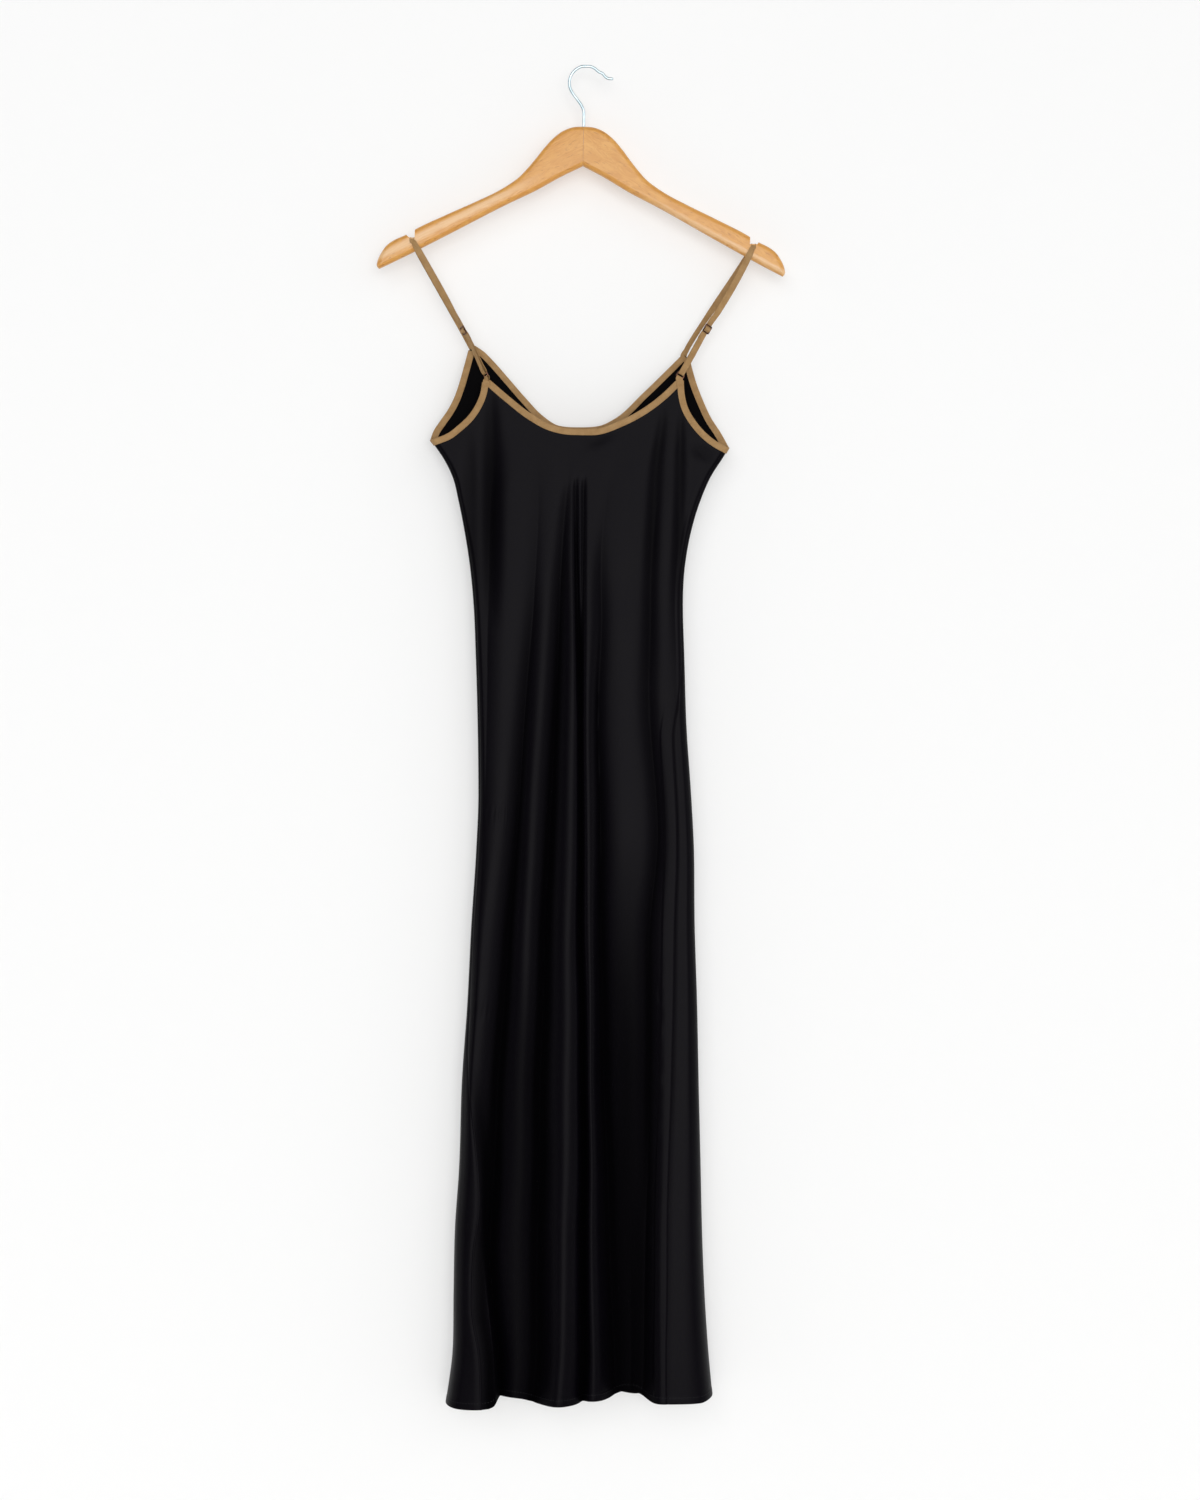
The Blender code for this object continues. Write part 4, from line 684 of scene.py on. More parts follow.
dress = {
    # height, left x, right x of the side edges
    "sides": (
        (-385, -180.0, 167.0), (-395, -176.3, 163.4), (-405, -170.8, 159.2), (-413, -164.6, 154.9),
        (-421, -159.0, 150.2), (-445, -146.5, 134.9), (-470, -140.2, 124.0), (-500, -134.2, 114.6),
        (-540, -127.8, 107.0), (-585, -123.5, 104.5), (-640, -121.2, 106.0), (-720, -119.0, 108.5),
        (-790, -118.3, 113.3), (-850, -120.6, 116.4), (-930, -125.8, 117.2), (-1020, -130.4, 119.9),
        (-1100, -136.0, 121.5), (-1200, -139.4, 123.8), (-1260, -143.6, 125.1), (-1330, -145.2, 127.8),
        (-1390, -146.0, 131.6), (-1460, -154.9, 138.0),
    ),
    # height, left and right side seam in % of the width
    "seams": (
        (-400, 0.8, 99.2), (-640, 0.8, 99.0), (-690, 0.8, 96.5), (-730, 0.8, 93.4), (-819, 0.8, 92.8),
        (-949, 0.9, 91.0), (-1040, 1.2, 89.6), (-1123, 3.8, 88.4), (-1178, 6.8, 87.2), (-1240, 9.3, 86.3),
        (-1286, 7.6, 85.9), (-1341, 7.2, 85.0), (-1395, 10.3, 83.6), (-1455, 13.4, 82.5),
    ),
    "acrossHeights": (-400, -470, -579, -688, -819, -949, -1080, -1276, -1455),
    "outHeights": (-400, -445, -560, -760, -1080, -1455),
    # name, place in % of the width at acrossHeights, how far it stands out at outHeights
    "frontFolds": (
        ("left edge", (0, 0, 0, 0, 0, 0, 0, 0, 0), (7, 7.6, 9, 10, 15, 28)),
        ("strap valley", (20.6, 13.6, 7.4, 5, 3, 1.8, 1.4, 2, 3), (8, 8, 9.8, 11.6, 16, 32)),
        ("side ridge", (27, 22, 16.5, 13, 9.5, 6, 5, 11.5, 18.8), (8.5, 9.8, 13, 14, 21, 40)),
        ("side valley", (33, 33, 29, 23.5, 19, 17, 15.5, 14.5, 20.6), (8.5, 9.1, 10.5, 10, 10, 13)),
        ("left ridge", (40, 39.5, 35, 30.5, 25, 25, 25, 25, 25.5), (8.5, 9.6, 12.5, 15, 20, 22)),
        ("left valley", (45, 44.5, 41.5, 38, 34, 33, 33, 33.5, 32.5), (8, 9, 10.5, 9.5, 10, 16)),
        ("near ridge", (47.3, 47, 47, 45.5, 43, 43, 44, 44, 42), (8, 9.2, 14, 19, 26, 40)),
        ("centre groove", (49.3, 49.3, 50, 49.5, 48, 49, 51, 52, 51), (8, 9.2, 12, 14.8, 16.5, 23)),
        ("centre ridge", (53, 53.5, 54.5, 53, 51.5, 53, 54, 55, 55), (8, 9.2, 14.5, 19, 26, 34)),
        ("right valley", (60, 61, 61, 58, 57, 58, 59.5, 62.5, 63.5), (8.5, 9.2, 11, 10, 9, 12)),
        ("flat ridge", (70, 70, 70, 70, 68, 69.5, 71, 71, 69), (8.5, 9.6, 12.5, 14, 16, 14)),
        ("seam valley", (76, 82, 84.4, 82.4, 83.6, 79.5, 79, 77, 73.5), (8.5, 8.9, 10, 10.8, 12, 20)),
        ("seam ridge", (84.6, 88, 91, 88, 89, 87, 86.3, 83.5, 80.5), (8.5, 9.2, 11, 13, 18, 37)),
        ("right flap", (96, 96, 96, 96, 96.5, 95.5, 93.5, 91, 88), (7.5, 7.9, 9, 12, 18, 36)),
        ("right edge", (100,) * 9, (7, 7.3, 8, 10, 14, 26)),
    ),
    "backFolds": (
        ("left edge", (0,) * 9, (6, 6.3, 7, 7, 7, 7)),
        ("left side ridge", (14, 13, 11, 10, 9, 9, 10, 11, 12), (7, 7.6, 9, 10, 13, 17)),
        ("left side valley", (24, 25, 23, 21, 19, 19, 20, 21, 22), (8, 7.7, 7, 6, 4, 4)),
        ("left ridge", (34, 36, 35, 33, 31, 30, 31, 32, 33), (8, 8.6, 10, 11, 15, 19)),
        ("left valley", (42, 44, 44, 43, 41, 41, 42, 42, 43), (8, 7.7, 7, 6, 4, 3)),
        ("centre ridge", (50, 50, 50, 51, 52, 52, 52, 53, 53), (8, 8.6, 10, 12, 16, 20)),
        ("right valley", (57, 57, 57, 58, 60, 61, 61, 62, 61), (8, 7.7, 7, 6, 4, 4)),
        ("right ridge", (66, 66, 67, 68, 70, 71, 70, 70, 71), (8, 8.6, 10, 11, 14, 18)),
        ("right side valley", (78, 77, 77, 78, 80, 80, 79, 79, 80), (8, 7.7, 7, 6, 5, 4)),
        ("right side ridge", (87, 88, 89, 90, 91, 91, 90, 89, 89), (7, 7.3, 8, 9, 12, 15)),
        ("right edge", (100,) * 9, (6, 6.3, 7, 7, 7, 7)),
    ),
    "edgeTurn": (6.5, 6.6, 7, 8, 11, 14),
    # share of the width in %, height of the hem
    "frontHem": (
        (0, -1451.5), (8, -1453.5), (14, -1453), (18, -1450), (20.6, -1442.5), (28, -1444.5),
        (34, -1449.5), (42, -1450), (49, -1448), (51.5, -1446), (60, -1444), (66.5, -1437.5),
        (70, -1437.5), (78, -1447), (86, -1447.5), (95, -1447), (100, -1443.5),
    ),
    "backHem": (
        (0, -1451.5), (12, -1446), (22, -1441), (33, -1447), (43, -1440.5), (53, -1447), (61, -1440),
        (71, -1446), (80, -1440.5), (89, -1445), (100, -1443.5),
    ),
    # finished top edges, x and height, each from the left
    "frontLeftArmhole": (
        (-163, -403.2), (-151.3, -398.5), (-140.6, -390.4), (-129.7, -380.2), (-120.7, -367),
        (-115.6, -354), (-113.9, -343),
    ),
    "frontNeck": (
        (-105.4, -340.5), (-84.6, -358.4), (-59.4, -377.9), (-39.5, -388.7), (-18, -393.2), (6, -393.6),
        (37.3, -384), (60.8, -371.4), (80, -357.1), (96.8, -341),
    ),
    "frontRightArmhole": (
        (105.2, -341.5), (105.6, -352), (109.8, -371), (118.6, -386), (129.4, -398.3), (143.8, -409),
    ),
    "backLeftArmhole": (
        (-167.4, -395), (-160.2, -384), (-151.3, -371), (-145.6, -360), (-140.4, -346), (-134.6, -326),
        (-129.4, -306.6),
    ),
    "backNeck": (
        (-121.8, -301.8), (-112.6, -308), (-102.7, -317.8), (-84.6, -338.3), (-66.6, -359),
        (-48.5, -377.8), (-32, -388.4), (-8, -390.6), (14, -388.9), (30, -381.4), (60.8, -353.6),
        (88, -327.1), (104.2, -311),
    ),
    "backRightArmhole": (
        (112, -315.6), (115, -328), (120.4, -346), (127.6, -364), (135, -380), (145.6, -396.5),
    ),
    "underarm": (-404.9, -413.2),  # height of the left and the right one
    "underarmSeamIn": 2.6,  # from the side edge to the seam on the front
    "hemLevel": -1446.0,
    "cloth": 0.7,  # thickness
    "edgeUnderTape": 1.0,  # from the finished edge to the cloth's own edge
    "columnsFrom": -396.0,  # the columns run straight down to here
    "columnsSettle": 190.0,  # and this far below they have moved onto their shares
    "frontColumns": (50, 3, 186, 3, 44),  # armhole, strap point, neck, strap point, armhole
    "backColumns": (46, 3, 120, 3, 46),
    "wrapColumns": 16,  # from a seam on the front to the edge
    "dropWeight": 0.45,  # of a top edge's drop, beside its sideways move, where its columns are set
    # below the top: how far the columns even out, and how much of that crowds them to the sides
    "frontEven": (0.65, 0.5),
    "backEven": (0.7, 0.85),
    "grooveCrowd": (0.45, 0.05),  # how much closer the columns lie at the centre groove, half width
    "groovePull": 0.25,  # half width in which they follow it
    "wrapCrowd": (2, 1.6),  # powers that crowd the wrapped columns to the edge, at the top and below
    "frontRows": 166,
    "backRows": 164,
    "rowsCrowd": 1.15,  # the power that crowds the rows to the top
    "hemRows": (0, 0.35, 0.9, 2, 3.5, 5, 6.2, 7, 7.6, 8.2, 8.8, 9.6, 10.8, 12.5, 15),  # above the hem
    "hemStitchRow": 7,  # the one that the hem is sewn along
    "hemDepth": 8.0,
    "hemStep": (0.32, 0.8),  # how far the turned hem stands out, height in which it comes in
    "hemGroove": (0.22, 1.2, 0.45),  # depth, below the hem's upper edge, half width
    "hemRound": (0.4, 0.35),  # how far the fold at the bottom rounds off, height
    "seamRoll": ((0.55, 0.9), (0.12, 3.0)),  # depth and half width of its two parts
    "archFrom": -410.0,  # below this height the folds get round backs
    "archFade": 70.0,
    "archMost": 2.8,  # the most that this moves the cloth
    "edgeFade": 20.0,  # from a side edge, in which the rear's creases come in
    "hollowFull": 9.0,  # a valley this deep or deeper gets the full painted shade
    # how far the painted shade reaches up, as a share of the way to the ridges beside it
    "shadeReach": {"centre groove": 0.2, "right valley": 0.42, "seam valley": 0.4, "other": 0.52},
}


# Creases: the fold line that each follows, or its x at each height; heights; depth; half width
frontCreases = (
    ((-103.6, -103.6, -103.4, -103.4, -103.6, -103.8, -104), (-352, -368, -400, -440, -490, -545, -615),
     (0, -0.8, -1.8, -2.6, -2.8, -2.1, 0), (4, 6, 8, 9, 9.5, 9, 8)),
    ((-127, -127.5, -127.5, -126.5, -125), (-394, -420, -470, -530, -600),
     (0, -0.6, -1, -0.9, 0), (4, 6, 8, 8, 8)),
    ("side valley", (-560, -625, -700, -820, -1000, -1200, -1452),
     (0, -0.6, -1, -1.4, -1.4, -1.2, -1), (8, 9, 10, 11, 12, 12, 12)),
    ("left valley", (-450, -462, -520, -600, -760, -1000, -1230, -1452),
     (0, -0.5, -1.2, -1.8, -2, -1.8, -1.8, -1.6), (3, 4.5, 7, 9, 11, 12, 13, 13)),
    ((-12.5, -12.4, -12.2, -11.6, -10.4, -9, -8), (-447, -455, -480, -540, -600, -650, -710),
     (0, -1.4, -2.2, -2.6, -2.6, -2, 0), (1.8, 2, 2.2, 2.4, 2.6, 2.8, 3)),
    ((-3.6, -3.7, -3.8, -4.2, -5, -6, -7), (-446, -454, -480, -540, -600, -650, -710),
     (0, -1.2, -1.9, -2.2, -2.2, -1.8, 0), (1.8, 2, 2.2, 2.4, 2.6, 2.8, 3)),
    ("centre groove", (-575, -660, -760, -950, -1200, -1452),
     (0, -2.8, -3.8, -4.2, -5, -5), (2.8, 2.8, 2.8, 3, 3.8, 4.4)),
    ("right valley", (-500, -570, -700, -900, -1150, -1452),
     (0, -0.6, -1, -1.2, -1.6, -1.8), (6, 7, 7, 7.5, 9, 11)),
    ((83.5, 81.3, 75.8, 71.4, 68.8, 67.5), (-366, -388, -430, -500, -570, -670),
     (0, -0.9, -1.8, -1.9, -1.4, 0), (4, 5, 6, 6.5, 6.5, 6)),
    ("seam valley", (-560, -650, -760, -950, -1200, -1452),
     (0, -1.1, -1.3, -1.3, -1.5, -1.6), (8, 9, 9, 10, 11, 12)),
    ((101.6, 101.6, 101.2, 100.2, 98.8, 97.6), (-370, -394, -430, -490, -540, -590),
     (0, -0.9, -1.7, -1.8, -1.2, 0), (3, 4, 5, 5.4, 5, 4.6)),
)
backCreases = (
    ((-96, -97, -98, -97, -95), (-338, -360, -430, -520, -640),
     (0, -0.9, -2.2, -1.9, 0), (4, 6, 9, 10, 10)),
    ((72, 72.5, 73, 72, 70), (-352, -378, -440, -530, -650),
     (0, -0.9, -2, -1.7, 0), (4, 6, 8.5, 9, 9)),
    ((-6, -6.4, -7, -7.4), (-404, -430, -520, -640), (0, -0.8, -1.2, 0), (4, 5, 7, 7)),
    ("left side valley", (-540, -640, -850, -1100, -1452),
     (0, -1, -1.4, -1.6, -1.4), (8, 9, 11, 12, 13)),
    ("left valley", (-480, -560, -760, -1000, -1200, -1452),
     (0, -1, -1.6, -1.8, -1.8, -1.8), (7, 8, 10, 11, 12, 13)),
    ("right valley", (-520, -620, -800, -1050, -1452), (0, -1.1, -1.4, -1.8, -1.6), (7, 9, 9, 12, 13)),
    ("right side valley", (-560, -680, -900, -1150, -1452),
     (0, -0.9, -1.5, -1.6, -1.6), (8, 9, 11, 12, 12)),
)
creaseShadeFull = 3.6  # a crease this deep gets the full painted shade at its bottom
dentShadeShare = 0.6  # and a dent this share of that
# Painted shade on cloth without a crease: the fold line or x, heights, how dark, half width
frontShadeBands = (
    ("left ridge", (-960, -1080, -1452), (0, 0.42, 0.52), (10, 12, 14)),
    ((43, 44, 45, 46), (-830, -1080, -1290, -1452), (0, 0.82, 0.88, 0.72), (16, 20, 20, 20)),
)
# Dents: x, height, turn in degrees, half length, half width, depth
frontDents = (
    (14, -405, 24, 15, 4.2, -1.1),
    (2, -402, -8, 9, 3, -0.5),
    (125, -419, -30, 13, 5, -1.4),
    (-106, -813, 3, 26, 2.6, -0.45),
    (-112, -1026, -4, 30, 2.8, -0.5),
    (-128, -1362, 5, 22, 3, -0.5),
    (80, -1009, -24, 8, 1.1, -0.9),
)
# The pressed seam allowance on the right, and the trough beside the left flap
seamBand = {
    "heights": (-690, -760, -1452),
    "raised": (0, 0.75, 0.85),
    "width": 14.5,
    "edge": 1.8,
    "puckerHeights": (-960, -1060, -1400, -1446),
    "pucker": (0, 0.85, 0.85, 0),
    "troughHeights": (-1085, -1130, -1200, -1290, -1452),
    "troughDepth": (0, -1.6, -3, -2.4, -3.4),
    "troughIn": 11.0,
    "troughWidth": 9.0,
    "troughStart": 3.0,
    # the puckers: wave length over 2 pi, share and start of each wave, then their half width
    "waves": ((4.3, 1.0, 0.0), (2.9, 0.7, 1.3), (7.7, 0.6, 0.0)),
    "puckerWidth": 4.0,
}


def readTable(z, rows, column):
    # the smooth value at this height in a table whose first column is the height
    return fallingCubic(z, [row[0] for row in rows], [row[column] for row in rows])


def sidesAt(z):
    # the left edge's x, and the width between both side edges
    left = readTable(z, dress["sides"], 1)
    return left, readTable(z, dress["sides"], 2) - left


def seamShare(z, side):
    return readTable(z, dress["seams"], side) / 100


def foldShare(folds, name, z):
    across = next(row[1] for row in folds if row[0] == name)
    return fallingCubic(z, dress["acrossHeights"], across) / 100


def foldLines(folds, z):
    # share and stand-out of each fold line
    across, out = dress["acrossHeights"], dress["outHeights"]
    return [(fallingCubic(z, across, row[1]) / 100, fallingCubic(z, out, row[2])) for row in folds]


def standOut(folds, share, z):
    # how far the cloth stands out: between two fold lines it falls from the ridge to the valley
    # halfway between an even S and a round-backed arch, which leaves the ridges broad
    lines = foldLines(folds, z)
    belowTop = ease((dress["archFrom"] - z) / dress["archFade"])
    out = lines[0][1]
    for (here, low), (there, high) in zip(lines, lines[1:]):
        t = np.clip((share - here) / (there - here), 0, 1)
        rise = high - low
        arch = np.where(rise > 0, 1 - (1 - t) ** 2, t ** 2)
        most = 4 * dress["archMost"] / np.maximum(np.abs(rise), 4 * dress["archMost"])
        mix = belowTop * most
        out = out + rise * (ease(t) * (1 - mix) + arch * mix)
    return out


def foldShade(folds, share, z):
    # painted shade: 1 in the bottom of a deep valley, falling to 0 on its way up to the ridges beside it
    lines = foldLines(folds, z)
    total = 0 * share
    for row, before, valley, after in zip(folds[1:], lines, lines[1:], lines[2:]):
        reach = dress["shadeReach"].get(row[0], dress["shadeReach"]["other"])
        depth = np.minimum(before[1], after[1]) - valley[1]
        side = np.where(share < valley[0], valley[0] - before[0], after[0] - valley[0])
        up = np.abs(share - valley[0]) / side
        strength = np.clip(depth / dress["hollowFull"], 0, 1)
        total = total + strength * (1 - ease(up / reach))
    return total


def acrossShare(place):
    # the share of the width at which a place of the loop lies
    return np.where(place > 2, place - 2, np.where(place > 1, 2 - place, place))


def clothPoint(place, z):
    # x = left + share * width, y = the fold's stand-out, turned in a quarter ellipse at each edge
    place, z = np.broadcast_arrays(np.asarray(place, float), np.asarray(z, float))
    rear = (place > 1) & (place < 2)
    share = np.abs(acrossShare(place))
    left, width = sidesAt(z)
    inward = np.minimum(share, 1 - share) * width / fallingCubic(z, dress["outHeights"], dress["edgeTurn"])
    turn = np.sqrt(1 - (1 - np.clip(inward, 0, 1)) ** 2)
    y = np.where(rear, standOut(dress["backFolds"], share, z), -standOut(dress["frontFolds"], share, z))
    return np.stack([left + share * width, y * turn, z], axis=-1)


def clothSlopes(place, z, byPlace=0.0012, byHeight=1.0):
    # how the point moves with the place and with the height
    along = (clothPoint(place + byPlace, z) - clothPoint(place - byPlace, z)) / (2 * byPlace)
    up = (clothPoint(place, z + byHeight) - clothPoint(place, z - byHeight)) / (2 * byHeight)
    return along, up


def clothNormal(place, z):
    return unit(np.cross(*clothSlopes(place, z)))


def bellsAlong(rows, folds, x, z):
    # for each row its value at this height * bell(distance from its line / half width)
    left, width = sidesAt(z)
    for line, heights, value, halfWidth in rows:
        if isinstance(line, str):
            middle = left + foldShare(folds, line, z) * width
        else:
            middle = fallingCubic(z, heights, line)
        away = (x - middle) / fallingCubic(z, heights, halfWidth)
        within = (z <= heights[0]) & (z >= heights[-1])
        yield np.where(within, fallingCubic(z, heights, value) * bell(away), 0)


def creaseSum(creases, folds, x, z):
    # how far the creases move the cloth, and the painted shade along their bottoms
    moved, shadeAmount = np.zeros(x.shape), np.zeros(x.shape)
    for trough in bellsAlong(creases, folds, x, z):
        moved += trough
        shadeAmount += np.clip(-trough / creaseShadeFull, 0, 1)
    return moved, shadeAmount


def besideSeams(share, z, width):
    # the raised band left of the right seam with its puckers, and the trough right of the left seam with
    # painted shade in it
    b = seamBand
    fromRight = (seamShare(z, 2) - share) * width
    fromLeft = (share - seamShare(z, 1)) * width
    raised = fallingCubic(z, b["heights"], b["raised"])
    band = raised * ease((b["width"] - fromRight) / b["edge"] + 0.5) * ease(fromRight / b["edge"])
    wave = sum(much * np.sin(z / length + start) for length, much, start in b["waves"])
    amount = fallingCubic(z, b["puckerHeights"], b["pucker"]) / 2
    pucker = amount * wave * bell((fromRight - b["width"] - 1) / b["puckerWidth"])
    depth = fallingCubic(z, b["troughHeights"], b["troughDepth"])
    trough = depth * bell((fromLeft - b["troughIn"]) / b["troughWidth"]) * ease(fromLeft / b["troughStart"])
    return np.where(fromRight > 0, band + pucker, 0) + trough, np.clip(-trough / creaseShadeFull, 0, 1)


def dentSum(x, z):
    # each dent is depth * bell(along / half length) * bell(across / half width), turned by its angle, with
    # painted shade in it
    moved, shadeAmount = np.zeros(x.shape), np.zeros(x.shape)
    for dentX, dentZ, turn, halfLength, halfWidth, depth in frontDents:
        c, s = math.cos(math.radians(turn)), math.sin(math.radians(turn))
        along = ((x - dentX) * c + (z - dentZ) * s) / halfLength
        across = ((z - dentZ) * c - (x - dentX) * s) / halfWidth
        dent = depth * bell(along) * bell(across)
        moved += dent
        shadeAmount += np.clip(-dent / creaseShadeFull, 0, 1) * dentShadeShare
    return moved, shadeAmount


def creased(points, place):
    # how far the creases move the cloth out and how much painted shade each point gets, front and back
    x, z = points[..., 0], points[..., 2]
    share = np.where(place > 2, place - 2, place)
    width = sidesAt(z)[1]
    onFront = (place < 1) | (place > 2)
    parts = (
        creaseSum(frontCreases, dress["frontFolds"], x, z), besideSeams(share, z, width), dentSum(x, z),
    )
    front = sum(moved for moved, _ in parts)
    frontShade = sum(shadeAmount for _, shadeAmount in parts) + foldShade(dress["frontFolds"], np.clip(share, 0, 1), z)
    # plus painted shade on some ridges
    frontShade = frontShade + sum(bellsAlong(frontShadeBands, dress["frontFolds"], x, z))
    fromEdge = ease(np.minimum(np.abs(place - 1), np.abs(place - 2)) * width / dress["edgeFade"])
    back, backShade = creaseSum(backCreases, dress["backFolds"], x, z)
    backShade = backShade + foldShade(dress["backFolds"], np.clip(2 - place, 0, 1), z)
    hollow = np.where(onFront, frontShade, backShade * fromEdge)
    return np.where(onFront, front, back * fromEdge), np.clip(hollow, 0, 1)


def shareAt(x, z):
    left, width = sidesAt(z)
    return (x - left) / width


def pulledIn(edge, distance):
    # the cloth's own edge, under the tape that wraps the finished edge
    edge = np.asarray(edge, float)
    along = unit(np.gradient(edge, axis=0))
    return edge + distance * np.stack([along[:, 1], -along[:, 0]], axis=1)


def evenShares(points, count):
    # shares of the curve's length at which its sideways move plus part of its drop grows evenly
    fine = curveThrough(points, np.linspace(0, 1, 400))
    step = np.abs(np.diff(fine[:, 0])) + dress["dropWeight"] * np.abs(np.diff(fine[:, 1]))
    grown = np.concatenate([[0], np.cumsum(step)])
    length = lengthAlong(fine)
    return np.interp(np.linspace(0, grown[-1], count), grown, length / length[-1])


def topEdge(armholeA, neck, armholeB, start, end, columns, distance):
    # points along a panel's top from its left, and the first and last index of each curve
    curves = []
    for points, count in zip(([start, *armholeA], neck, [*armholeB, end]), columns[::2]):
        curves.append(pulledIn(curveThrough(points, evenShares(points, count)), distance))
    curves[0][0] = start[0], start[1] - distance
    curves[2][-1] = end[0], end[1] - distance
    bridges = []
    for before, after, count in zip(curves, curves[1:], columns[1::2]):
        share = np.linspace(0, 1, count + 2)[1:-1, None]
        bridges.append(before[-1] + (after[0] - before[-1]) * share)
    parts = [curves[0], bridges[0], curves[1], bridges[1], curves[2]]
    starts = np.cumsum([0] + [len(part) for part in parts])
    corners = [(starts[k], starts[k + 1] - 1) for k in (0, 2, 4)]
    return np.concatenate(parts), corners


def hemHeight(table, share):
    return fallingCubic(-share, [-row[0] / 100 for row in table], [row[1] for row in table])


def underarms(inward):
    # x and height of the left and the right end of a top edge
    left, right = dress["underarm"]
    rightX = sum(sidesAt(right))
    return (sidesAt(left)[0] + inward, left), (rightX - inward, right)


def frontEdge(distance=dress["edgeUnderTape"]):
    curves = (dress["frontLeftArmhole"], dress["frontNeck"], dress["frontRightArmhole"])
    ends = underarms(dress["underarmSeamIn"])
    edge, corners = topEdge(*curves, *ends, dress["frontColumns"], distance)
    places = shareAt(edge[:, 0], edge[:, 1])
    places[0] = seamShare(edge[0, 1], 1)
    places[-1] = seamShare(edge[-1, 1], 2)
    return places, edge[:, 1], corners


def backEdge(distance=dress["edgeUnderTape"]):
    # from the right seam round the rear to the left seam
    curves = (dress["backLeftArmhole"], dress["backNeck"], dress["backRightArmhole"])
    edge, corners = topEdge(*curves, *underarms(0), dress["backColumns"], distance)
    share = shareAt(edge[:, 0], edge[:, 1])
    share[0], share[-1] = 0, 1
    rear = (2 - share)[::-1]
    heights = edge[::-1, 1]
    toEdge = np.linspace(1, 0, dress["wrapColumns"] + 1)[:-1] ** dress["wrapCrowd"][0]
    wrap = 1 - (1 - seamShare(heights[0], 2)) * toEdge
    unwrap = 2 + seamShare(heights[-1], 1) * toEdge[::-1]
    places = np.concatenate([wrap, rear, unwrap])
    heights = np.concatenate([np.full(len(wrap), heights[0]), heights, np.full(len(unwrap), heights[-1])])
    last = len(wrap) + len(share) - 1
    return places, heights, [(last - b, last - a) for a, b in reversed(corners)]


def crowdedEnds(count, amount):
    # even shares moved closer together at both ends
    share = np.linspace(0, 1, count)
    return (1 - amount) * share + amount * ease(share)


def panelRows(top, hem, rows):
    # heights of the rows of each column from the hem up, close together at the hem and at the top
    hemRows = np.array(dress["hemRows"])
    share = np.linspace(0, 1, rows - len(hemRows) + 1)[1:, None]
    low = hem + hemRows[:, None]
    return np.concatenate([low, low[-1] + (top - low[-1]) * (1 - (1 - share) ** dress["rowsCrowd"])])


def hemLift(above):
    # the turned hem stands out a little, its stitching pulls a groove, and its fold is round
    stand, comesIn = dress["hemStep"]
    depth, under, halfWidth = dress["hemGroove"]
    roundOff, roundOver = dress["hemRound"]
    step = stand * ease((dress["hemDepth"] - above) / comesIn + 0.5)
    groove = depth * bell((above - dress["hemDepth"] + under) / halfWidth)
    return step - groove - roundOff * np.exp(-above / roundOver)


def seamSink(distance):
    # cloth rolls inwards at a seam: each part is depth * bell(distance / half width)
    return -sum(depth * bell(distance / halfWidth) for depth, halfWidth in dress["seamRoll"])


def panelShell(name, place, z, hem, seamDistance):
    # the panel, and the line that its hem is sewn along with the cloth's normals there
    base = clothPoint(place, z)
    # the creases also give the painted shade of the folds
    moved, hollow = creased(base, place)
    out = hemLift(z - hem) + seamSink(seamDistance)
    outer = base + gridNormal(base) * out[..., None]
    outer[..., 1] += np.where((place < 1) | (place > 2), -moved, moved)
    face = gridNormal(outer)
    inner = outer - face * dress["cloth"]
    uv = np.stack([place * sidesAt(z)[1].mean(), z], axis=-1)
    panel = shellPiece(name, outer, inner, uv, hollow, satinMaterial, satinReverse)
    return panel, (outer[dress["hemStitchRow"]], face[dress["hemStitchRow"]])


def settled(places, lowPlaces, top, z):
    # places that leave those of the top edge and reach the low ones a way below it
    start = np.minimum(top, dress["columnsFrom"])
    return places + (lowPlaces - places) * ease((start - z) / dress["columnsSettle"])


def makeFrontPanel():
    places, top, _ = frontEdge()
    evenOut, crowd = dress["frontEven"]
    share = (places - places[0]) / (places[-1] - places[0])
    share = (1 - evenOut) * share + evenOut * crowdedEnds(len(places), crowd)
    footLeft, footRight = (seamShare(dress["hemLevel"], side) for side in (1, 2))
    hem = hemHeight(dress["frontHem"], footLeft + (footRight - footLeft) * share)
    z = panelRows(top, hem, dress["frontRows"])
    left, right = seamShare(z, 1), seamShare(z, 2)
    # the columns follow the centre groove and lie closer together beside it
    groove = (foldShare(dress["frontFolds"], "centre groove", z) - left) / (right - left)
    middle = share[int(np.argmin(np.abs(share - groove.mean())))]
    away = share - middle
    closer, halfWidth = dress["grooveCrowd"]
    follow = (groove - middle) * bell(away / dress["groovePull"])
    share = middle + away * (1 - closer * bell(away / halfWidth)) + follow
    place = settled(places, left + (right - left) * np.clip(share, 0, 1), top, z)
    place[:, 0], place[:, -1] = left[:, 0], right[:, -1]
    seamDistance = np.minimum(place - left, right - place) * sidesAt(z)[1]
    return panelShell("frontPanelCloth", place, z, hem, seamDistance)


